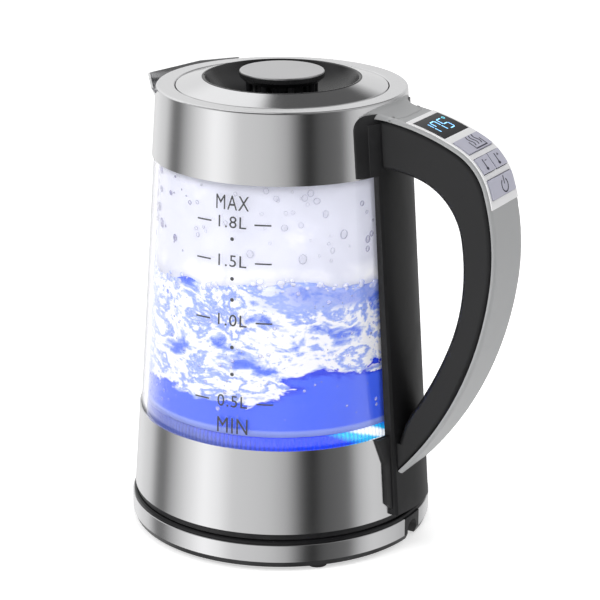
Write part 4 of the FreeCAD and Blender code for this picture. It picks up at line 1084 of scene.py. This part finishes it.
@dataclass
class CoverRoot:
    """Silver flare where the handle's cover runs onto the collar."""

    half: float = 26.4 * MM
    cover_half: float = 15.1 * MM
    side_height: float = 225.7 * MM
    middle_height: float = 229.2 * MM
    reach: float = 73.5 * MM
    side_reach: float = 67.5 * MM
    collar_foot: float = 65.3 * MM
    collar_head: float = 63.0 * MM
    collar_round: float = 1.3 * MM
    arch_x: float = 53.6 * MM
    arch_z: float = 108.5 * MM
    arch_radius: float = 117.2 * MM
    sheet: float = 0.5 * MM
    columns: int = 48
    rows: int = 14

    def collar(self) -> Cone:
        """Returns the collar's outer wall."""
        low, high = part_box("top_collar")
        return Cone(low[2], self.collar_foot, high[2] - self.collar_round, self.collar_head)

    def top(self, x: float) -> float:
        """Returns the cover's height at a distance from the jug's axis."""
        return self.arch_z + math.sqrt(self.arch_radius ** 2 - (x - self.arch_x) ** 2)

    def build(self) -> None:
        """Sweep hollow curves from the collar to the cover."""
        wall = self.collar()
        form = bmesh.new()
        bmesh.ops.create_grid(form, x_segments=self.columns, y_segments=self.rows, size=1.0)
        for vert in form.verts:
            across, along = vert.co.x, (vert.co.y + 1) / 2
            side = abs(across)
            height = self.side_height + (self.middle_height - self.side_height) * (1 - side ** 3.2)
            y = self.half * math.copysign(side ** 0.92, across)
            start = Vector((math.sqrt((wall.radius(height) + 0.12 * MM) ** 2 - y * y), y, height))
            edge = min(1.0, side / 0.86)
            drop = 2.15 * MM * max(0.0, (side - 0.86) / 0.14)
            reach = self.side_reach + (self.reach - self.side_reach) * (1 - side ** 4)
            fall = 2.0 * MM * (1 - math.sqrt(max(0.0, 1 - max(0.0, (edge - 0.87) / 0.13) ** 2)))
            end_y = math.copysign(self.cover_half * edge + 0.45 * MM * (side > 0.86), across)
            end = Vector((reach, end_y, self.top(reach) + 0.05 * MM - max(fall, drop)))
            corner_x = math.sqrt((wall.radius(height)) ** 2 - end_y ** 2) + 0.3 * MM
            corner = Vector((corner_x, end_y, self.top(corner_x) - max(fall, drop)))
            vert.co = start * (1 - along) ** 2 + corner * (2 * along * (1 - along)) + end * along ** 2
        form.normal_update()
        bmesh.ops.solidify(form, geom=form.faces[:], thickness=-self.sheet)
        item = add_piece("cover_root", form, SILVER)
        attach(item, "jug")


@dataclass
class LevelScale:
    """Filling marks printed on the glass."""

    thick: float = 0.04 * MM
    lift: float = 0.02 * MM
    turn_low: float = -79.6
    turn_high: float = -81.4
    wall: Cone = field(default_factory=lambda: wall_of("glass_jug"))
    words: tuple[tuple[str, float, float, float, float], ...] = (
        ("MAX", 185.95, 7.1, 17.0, 1.15), ("1.8L", 176.4, 5.8, 14.4, 1.12), ("1.5L", 157.2, 5.8, 14.6, 1.12),
        ("1.0L", 127.6, 5.9, 15.0, 1.12), ("0.5L", 86.5, 6.0, 15.6, 1.12), ("MIN", 74.0, 7.8, 16.0, 1.1))
    dots: tuple[float, ...] = (168.1, 148.4, 137.9, 114.0, 100.3)
    dashed: tuple[float, ...] = (175.9, 156.9, 127.2, 86.2)
    dot_radius: float = 0.95
    dash: tuple[float, float] = (8.2, 0.75)
    dash_turn: float = 13.4

    def bent(self, form: bmesh.types.BMesh, turn: float, height: float) -> bmesh.types.BMesh:
        """Wrap a flat form round the glass.

        Args:
            form: the form, reading along X with Y up.
            turn: angle of its middle about Z.
            height: height of its middle in metres.
        Returns:
            The form.
        """
        for vert in form.verts:
            level = height + vert.co.y
            reach = self.wall.radius(level)
            around = turn + math.degrees(vert.co.x / reach)
            vert.co = self.wall.point(around, level, self.lift + vert.co.z)
        return form

    def middle(self, height: float) -> float:
        """Returns the scale's angle at a height given in millimetres."""
        share = (height - 74.0) / (186.0 - 74.0)
        return self.turn_low + (self.turn_high - self.turn_low) * share

    def build(self) -> None:
        """Print every word, dot and dash."""
        pieces = []
        for words, height, tall, wide, spacing in self.words:
            form = text_form(words, tall * MM, self.thick, wide * MM, spacing)
            form = self.bent(form, self.middle(height), height * MM)
            pieces.append(add_piece("scale_" + words.lower().replace(".", "_"), form, INK, smooth=False))
        form = bmesh.new()
        for height in self.dots:
            turn = self.middle(height)
            at = self.wall.point(turn, height * MM, self.lift)
            place = (Matrix.Translation(at) @ Matrix.Rotation(math.radians(turn), 4, "Z")
                     @ Matrix.Rotation(math.pi / 2, 4, "Y"))
            bmesh.ops.create_cone(form, cap_ends=True, segments=20, radius1=self.dot_radius * MM,
                                  radius2=self.dot_radius * MM, depth=2 * self.thick, matrix=place)
        pieces.append(add_piece("scale_dots", form, INK, smooth=False))
        form = bmesh.new()
        for height in self.dashed:
            for side in (-1, 1):
                mark = bmesh.new()
                bmesh.ops.create_grid(mark, x_segments=8, y_segments=1, size=0.5)
                bmesh.ops.scale(mark, verts=mark.verts, vec=(self.dash[0] * MM, self.dash[1] * MM, 1.0))
                raise_face(mark, self.thick)
                self.bent(mark, self.middle(height) + side * self.dash_turn, height * MM)
                add_to(form, mark)
        pieces.append(add_piece("scale_dashes", form, INK, smooth=False))
        for item in pieces:
            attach(item, "jug")


@dataclass
class PanelMarks:
    """Lit digits of the display and the pictograms on the keys."""

    line: float = 0.55 * MM
    grow: float = 1.32
    aside: float = 2.4 * MM
    thick: float = 0.04 * MM
    lift: float = 0.02 * MM
    digits: str = "175"
    digit_tall: float = 8.6 * MM
    digit_wide: float = 4.4 * MM
    digit_pitch: float = 7.0 * MM
    digit_line: float = 0.6 * MM
    slant: float = 0.06
    window_turn: float = 17.3

    def seat(self, node: str, turn: float) -> Seat:
        """Returns the seat on a node that faces an angle from +Z toward +X. Args: node, turn in degrees."""
        angle = math.radians(turn)
        return seat_on(node, Vector((math.sin(angle), 0.0, math.cos(angle))))

    def segments(self, digit: str, left: float, form: bmesh.types.BMesh) -> None:
        """Add one seven-segment digit.

        Args:
            digit: the figure.
            left: x of its left side.
            form: the form to add to.
        """
        wide, tall, cut = self.digit_wide, self.digit_tall / 2, 0.5 * MM
        ends = {"a": ((cut, tall), (wide - cut, tall)), "b": ((wide, tall - cut), (wide, cut)),
                "c": ((wide, -cut), (wide, cut - tall)), "d": ((cut, -tall), (wide - cut, -tall)),
                "e": ((0, -cut), (0, cut - tall)), "f": ((0, tall - cut), (0, cut)),
                "g": ((cut, 0), (wide - cut, 0))}
        lit = {"1": "bc", "7": "abcf", "5": "afgcd"}[digit]
        for name in lit:
            (x0, y0), (x1, y1) = ends[name]
            bar_form((left + x0 + y0 * self.slant, y0), (left + x1 + y1 * self.slant, y1), self.digit_line,
                     self.thick, form)

    def display(self) -> None:
        """Light the display's digits and degree mark."""
        seat = self.seat("display_window", self.window_turn)
        form = bmesh.new()
        start = -self.digit_pitch - self.digit_wide * 0.5 - 2.2 * MM
        for index, digit in enumerate(self.digits):
            self.segments(digit, start + index * self.digit_pitch, form)
        item = add_piece("display_digits", laid_on(form, seat, self.lift), LIT, smooth=False)
        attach(item, "jug")
        form = bmesh.new()
        at = (start + 2 * self.digit_pitch + self.digit_wide + 2.6 * MM, self.digit_tall / 2 - 0.4 * MM)
        ring = [(at[0] + 0.8 * MM * math.cos(k * math.pi / 6), at[1] + 0.8 * MM * math.sin(k * math.pi / 6))
                for k in range(13)]
        stroke_form(ring, 0.4 * MM, self.thick, form)
        item = add_piece("display_degree", laid_on(form, seat, self.lift), LIT_MARK, smooth=False)
        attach(item, "jug")

    def keep_warm(self) -> bmesh.types.BMesh:
        """Returns three heat waves over an open tray."""
        form = bmesh.new()
        tray = [(-4.3 * MM, 0.6 * MM), (-4.3 * MM, -3.0 * MM), (4.3 * MM, -3.0 * MM), (4.3 * MM, 0.6 * MM)]
        stroke_form(tray, self.line, self.thick, form)
        for middle in (-2.4 * MM, 0.0, 2.4 * MM):
            wave = [(middle + 0.55 * MM * math.sin(k * math.pi / 5), -1.5 * MM + 4.8 * MM * k / 10)
                    for k in range(11)]
            stroke_form(wave, self.line, self.thick, form)
        return form

    def thermometer(self, plus: bool) -> bmesh.types.BMesh:
        """Returns a thermometer with a plus or minus beside it. Args: plus: which sign."""
        form = bmesh.new()
        bar_form((-0.5 * MM, -1.6 * MM), (-0.5 * MM, 2.6 * MM), self.line * 1.1, self.thick, form)
        bulb = Matrix.Translation((-0.5 * MM, -2.4 * MM, self.thick / 2))
        bmesh.ops.create_cone(form, cap_ends=True, segments=16, radius1=0.85 * MM, radius2=0.85 * MM,
                              depth=self.thick, matrix=bulb)
        bar_form((0.9 * MM, 1.7 * MM), (2.1 * MM, 1.7 * MM), self.line * 0.7, self.thick, form)
        if plus:
            bar_form((1.5 * MM, 1.1 * MM), (1.5 * MM, 2.3 * MM), self.line * 0.7, self.thick, form)
        return form

    def power(self) -> bmesh.types.BMesh:
        """Returns the power symbol."""
        form = bmesh.new()
        ring = [(2.5 * MM * math.sin(math.radians(turn)), -0.4 * MM + 2.5 * MM * math.cos(math.radians(turn)))
                for turn in range(40, 321, 20)]
        stroke_form(ring, self.line, self.thick, form)
        bar_form((0.0, 0.2 * MM), (0.0, 3.0 * MM), self.line, self.thick, form)
        return form

    def build(self) -> None:
        """Light the display and print the keys."""
        self.display()
        marks = {"keep_warm": self.keep_warm, "temp_down": lambda: self.thermometer(False),
                 "temp_up": lambda: self.thermometer(True), "power": self.power}
        for name, make in marks.items():
            joint = next(row for row in frame["joints"] if row["name"] == name + "_press")
            out = -Vector(joint["axis"])
            seat = seat_on(name + "_button", out.normalized())
            form = make()
            across = self.aside if name in ("keep_warm", "power") else 0.0
            for vert in form.verts:
                vert.co.x = vert.co.x * self.grow + across
                vert.co.y = vert.co.y * self.grow if across else vert.co.y
            item = add_piece(name + "_mark", laid_on(form, seat, self.lift), KEY_INK, smooth=False)
            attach(item, name + "_key")


# ---------- studio ----------

@dataclass
class Studio:
    """Camera, soft surround and floor."""

    distance: float = 1.0898
    height: float = 0.4820
    azimuth: float = 30.0
    heading: float = 29.497
    down: float = 18.533
    roll: float = 0.316
    lens: float = 133.99
    floor_size: float = 40.0
    # luminance of the surround by angle from the camera's side, positive to its right
    surround: tuple[Point, ...] = (
        (-180, 0.80), (-150, 0.90), (-125, 0.72), (-112, 0.20), (-104, 0.18), (-96, 0.42), (-81, 0.78),
        (-62, 1.15), (-49, 1.0), (-38, 0.72), (-21, 0.68), (-8, 0.62), (4, 0.48), (17, 0.08), (24, 0.02),
        (33, 0.10), (54, 0.16), (64, 0.55), (75, 0.72), (100, 0.60), (125, 0.35), (150, 0.70), (180, 0.80))
    # luminance higher up, above the soft boxes
    above: tuple[Point, ...] = (
        (-180, 0.10), (-177, 0.12), (-174, 1.0), (-130, 1.0), (-110, 0.6), (-80, 0.45), (-55, 0.14),
        (0, 0.10), (55, 0.14), (80, 0.40), (120, 0.55), (145, 0.30), (160, 0.12), (180, 0.10))
    # name, place, size and power
    lamps: tuple[tuple[str, Direction, float, float], ...] = (
        ("key", (-0.6, -1.1, 1.3), 0.9, 9.0), ("fill", (1.3, -0.5, 1.3), 0.8, 3.0),
        ("top", (0.25, 0.1, 1.6), 1.0, 9.5))

    def camera(self) -> None:
        """Stand the camera where the object is seen from."""
        data = bpy.data.cameras.new("camera")
        data.lens = self.lens
        data.sensor_width = 36.0
        item = bpy.data.objects.new("camera", data)
        bpy.context.scene.collection.objects.link(item)
        turn = math.radians(self.azimuth)
        place = Vector((self.distance * math.sin(turn), -self.distance * math.cos(turn), self.height))
        aim = (Matrix.Rotation(math.radians(self.heading), 4, "Z")
               @ Matrix.Rotation(math.radians(90 - self.down), 4, "X")
               @ Matrix.Rotation(math.radians(self.roll), 4, "Z"))
        item.matrix_world = Matrix.Translation(place) @ aim
        bpy.context.scene.camera = item

    def world(self) -> None:
        """A pale surround whose brightness varies with direction, as soft boxes and dark flags make it."""
        world = bpy.data.worlds.new("surround")
        bpy.context.scene.world = world
        world.use_nodes = True
        sheet = NodeSheet(world.node_tree)
        ray = sheet.add("ShaderNodeTexCoord").outputs["Generated"]
        apart = sheet.add("ShaderNodeSeparateXYZ", {"Vector": ray})
        angle = sheet.maths("ARCTAN2", apart.outputs["Y"], apart.outputs["X"])
        toward_camera = math.radians(self.azimuth - 90)
        turned = sheet.maths("SUBTRACT", angle, toward_camera)
        share = sheet.maths("ADD", sheet.maths("DIVIDE", turned, 2 * math.pi), 0.5 + 1.0)
        share = sheet.maths("FRACT", share)
        bands, high = (sheet.mask(share, [((angle_at + 180) / 360, light) for angle_at, light in lights])
                       for lights in (self.surround, self.above))
        lift = sheet.maths("MULTIPLY", sheet.maths("SUBTRACT", apart.outputs["Z"], 0.36), 7.0, True)
        dome = sheet.mix(lift, bands, high)
        path = sheet.add("ShaderNodeLightPath")
        plain = sheet.maths("MAXIMUM", path.outputs["Is Camera Ray"], path.outputs["Is Transmission Ray"])
        seen = sheet.mix(plain, dome, (1.0, 1.0, 1.0))
        back = world.node_tree.nodes["Background"]
        sheet.tree.links.new(seen, back.inputs["Color"])
        back.inputs["Strength"].default_value = 1.0

    def floor(self) -> None:
        """A plain pale floor that reads as white."""
        form = bmesh.new()
        bmesh.ops.create_grid(form, x_segments=2, y_segments=2, size=self.floor_size / 2)
        mesh = bpy.data.meshes.new("floor")
        form.to_mesh(mesh)
        form.free()
        item = bpy.data.objects.new("floor", mesh)
        bpy.context.scene.collection.objects.link(item)
        made = bpy.data.materials.new("floor_pale")
        made.use_nodes = True
        skin = made.node_tree.nodes["Principled BSDF"]
        skin.inputs["Base Color"].default_value = (0.9, 0.9, 0.9, 1.0)
        skin.inputs["Roughness"].default_value = 0.9
        skin.inputs["Specular IOR Level"].default_value = 0.0
        skin.inputs["Emission Color"].default_value = (1.0, 1.0, 1.0, 1.0)
        skin.inputs["Emission Strength"].default_value = 0.55
        mesh.materials.append(made)
        item.visible_glossy = False

    def lights(self) -> None:
        """Soft boxes that model the plastic parts and brighten the top."""
        for name, place, size, power in self.lamps:
            data = bpy.data.lights.new(name, "AREA")
            data.energy = power
            data.size = size
            item = bpy.data.objects.new(name, data)
            bpy.context.scene.collection.objects.link(item)
            item.location = place
            item.visible_glossy = False
            aim = Vector((0.0, 0.0, 0.12)) - Vector(place)
            item.rotation_euler = aim.to_track_quat("-Z", "Y").to_euler()

    def build(self) -> None:
        """Set the camera, the surround, the floor and the lights."""
        self.camera()
        self.world()
        self.floor()
        self.lights()
        settings = bpy.context.scene.view_settings
        settings.view_transform = "Standard"
        settings.look = "None"


def main() -> None:
    """Build the looks in order."""
    logging.basicConfig(level=logging.INFO, format="%(message)s")
    for build in (build_brush_group, build_smudge_group, build_grain_group, build_wear_group):
        build()
    Studio().build()
    for finish, names in CAD_FINISHES.items():
        for name in names:
            dress(frame["nodes"][name], finish)
    for part in (JugContents(), LightRing(), CoverRoot(), LevelScale(), PanelMarks()):
        part.build()
        LOG.info("built %s", type(part).__name__)


if __name__ == "__main__":
    main()
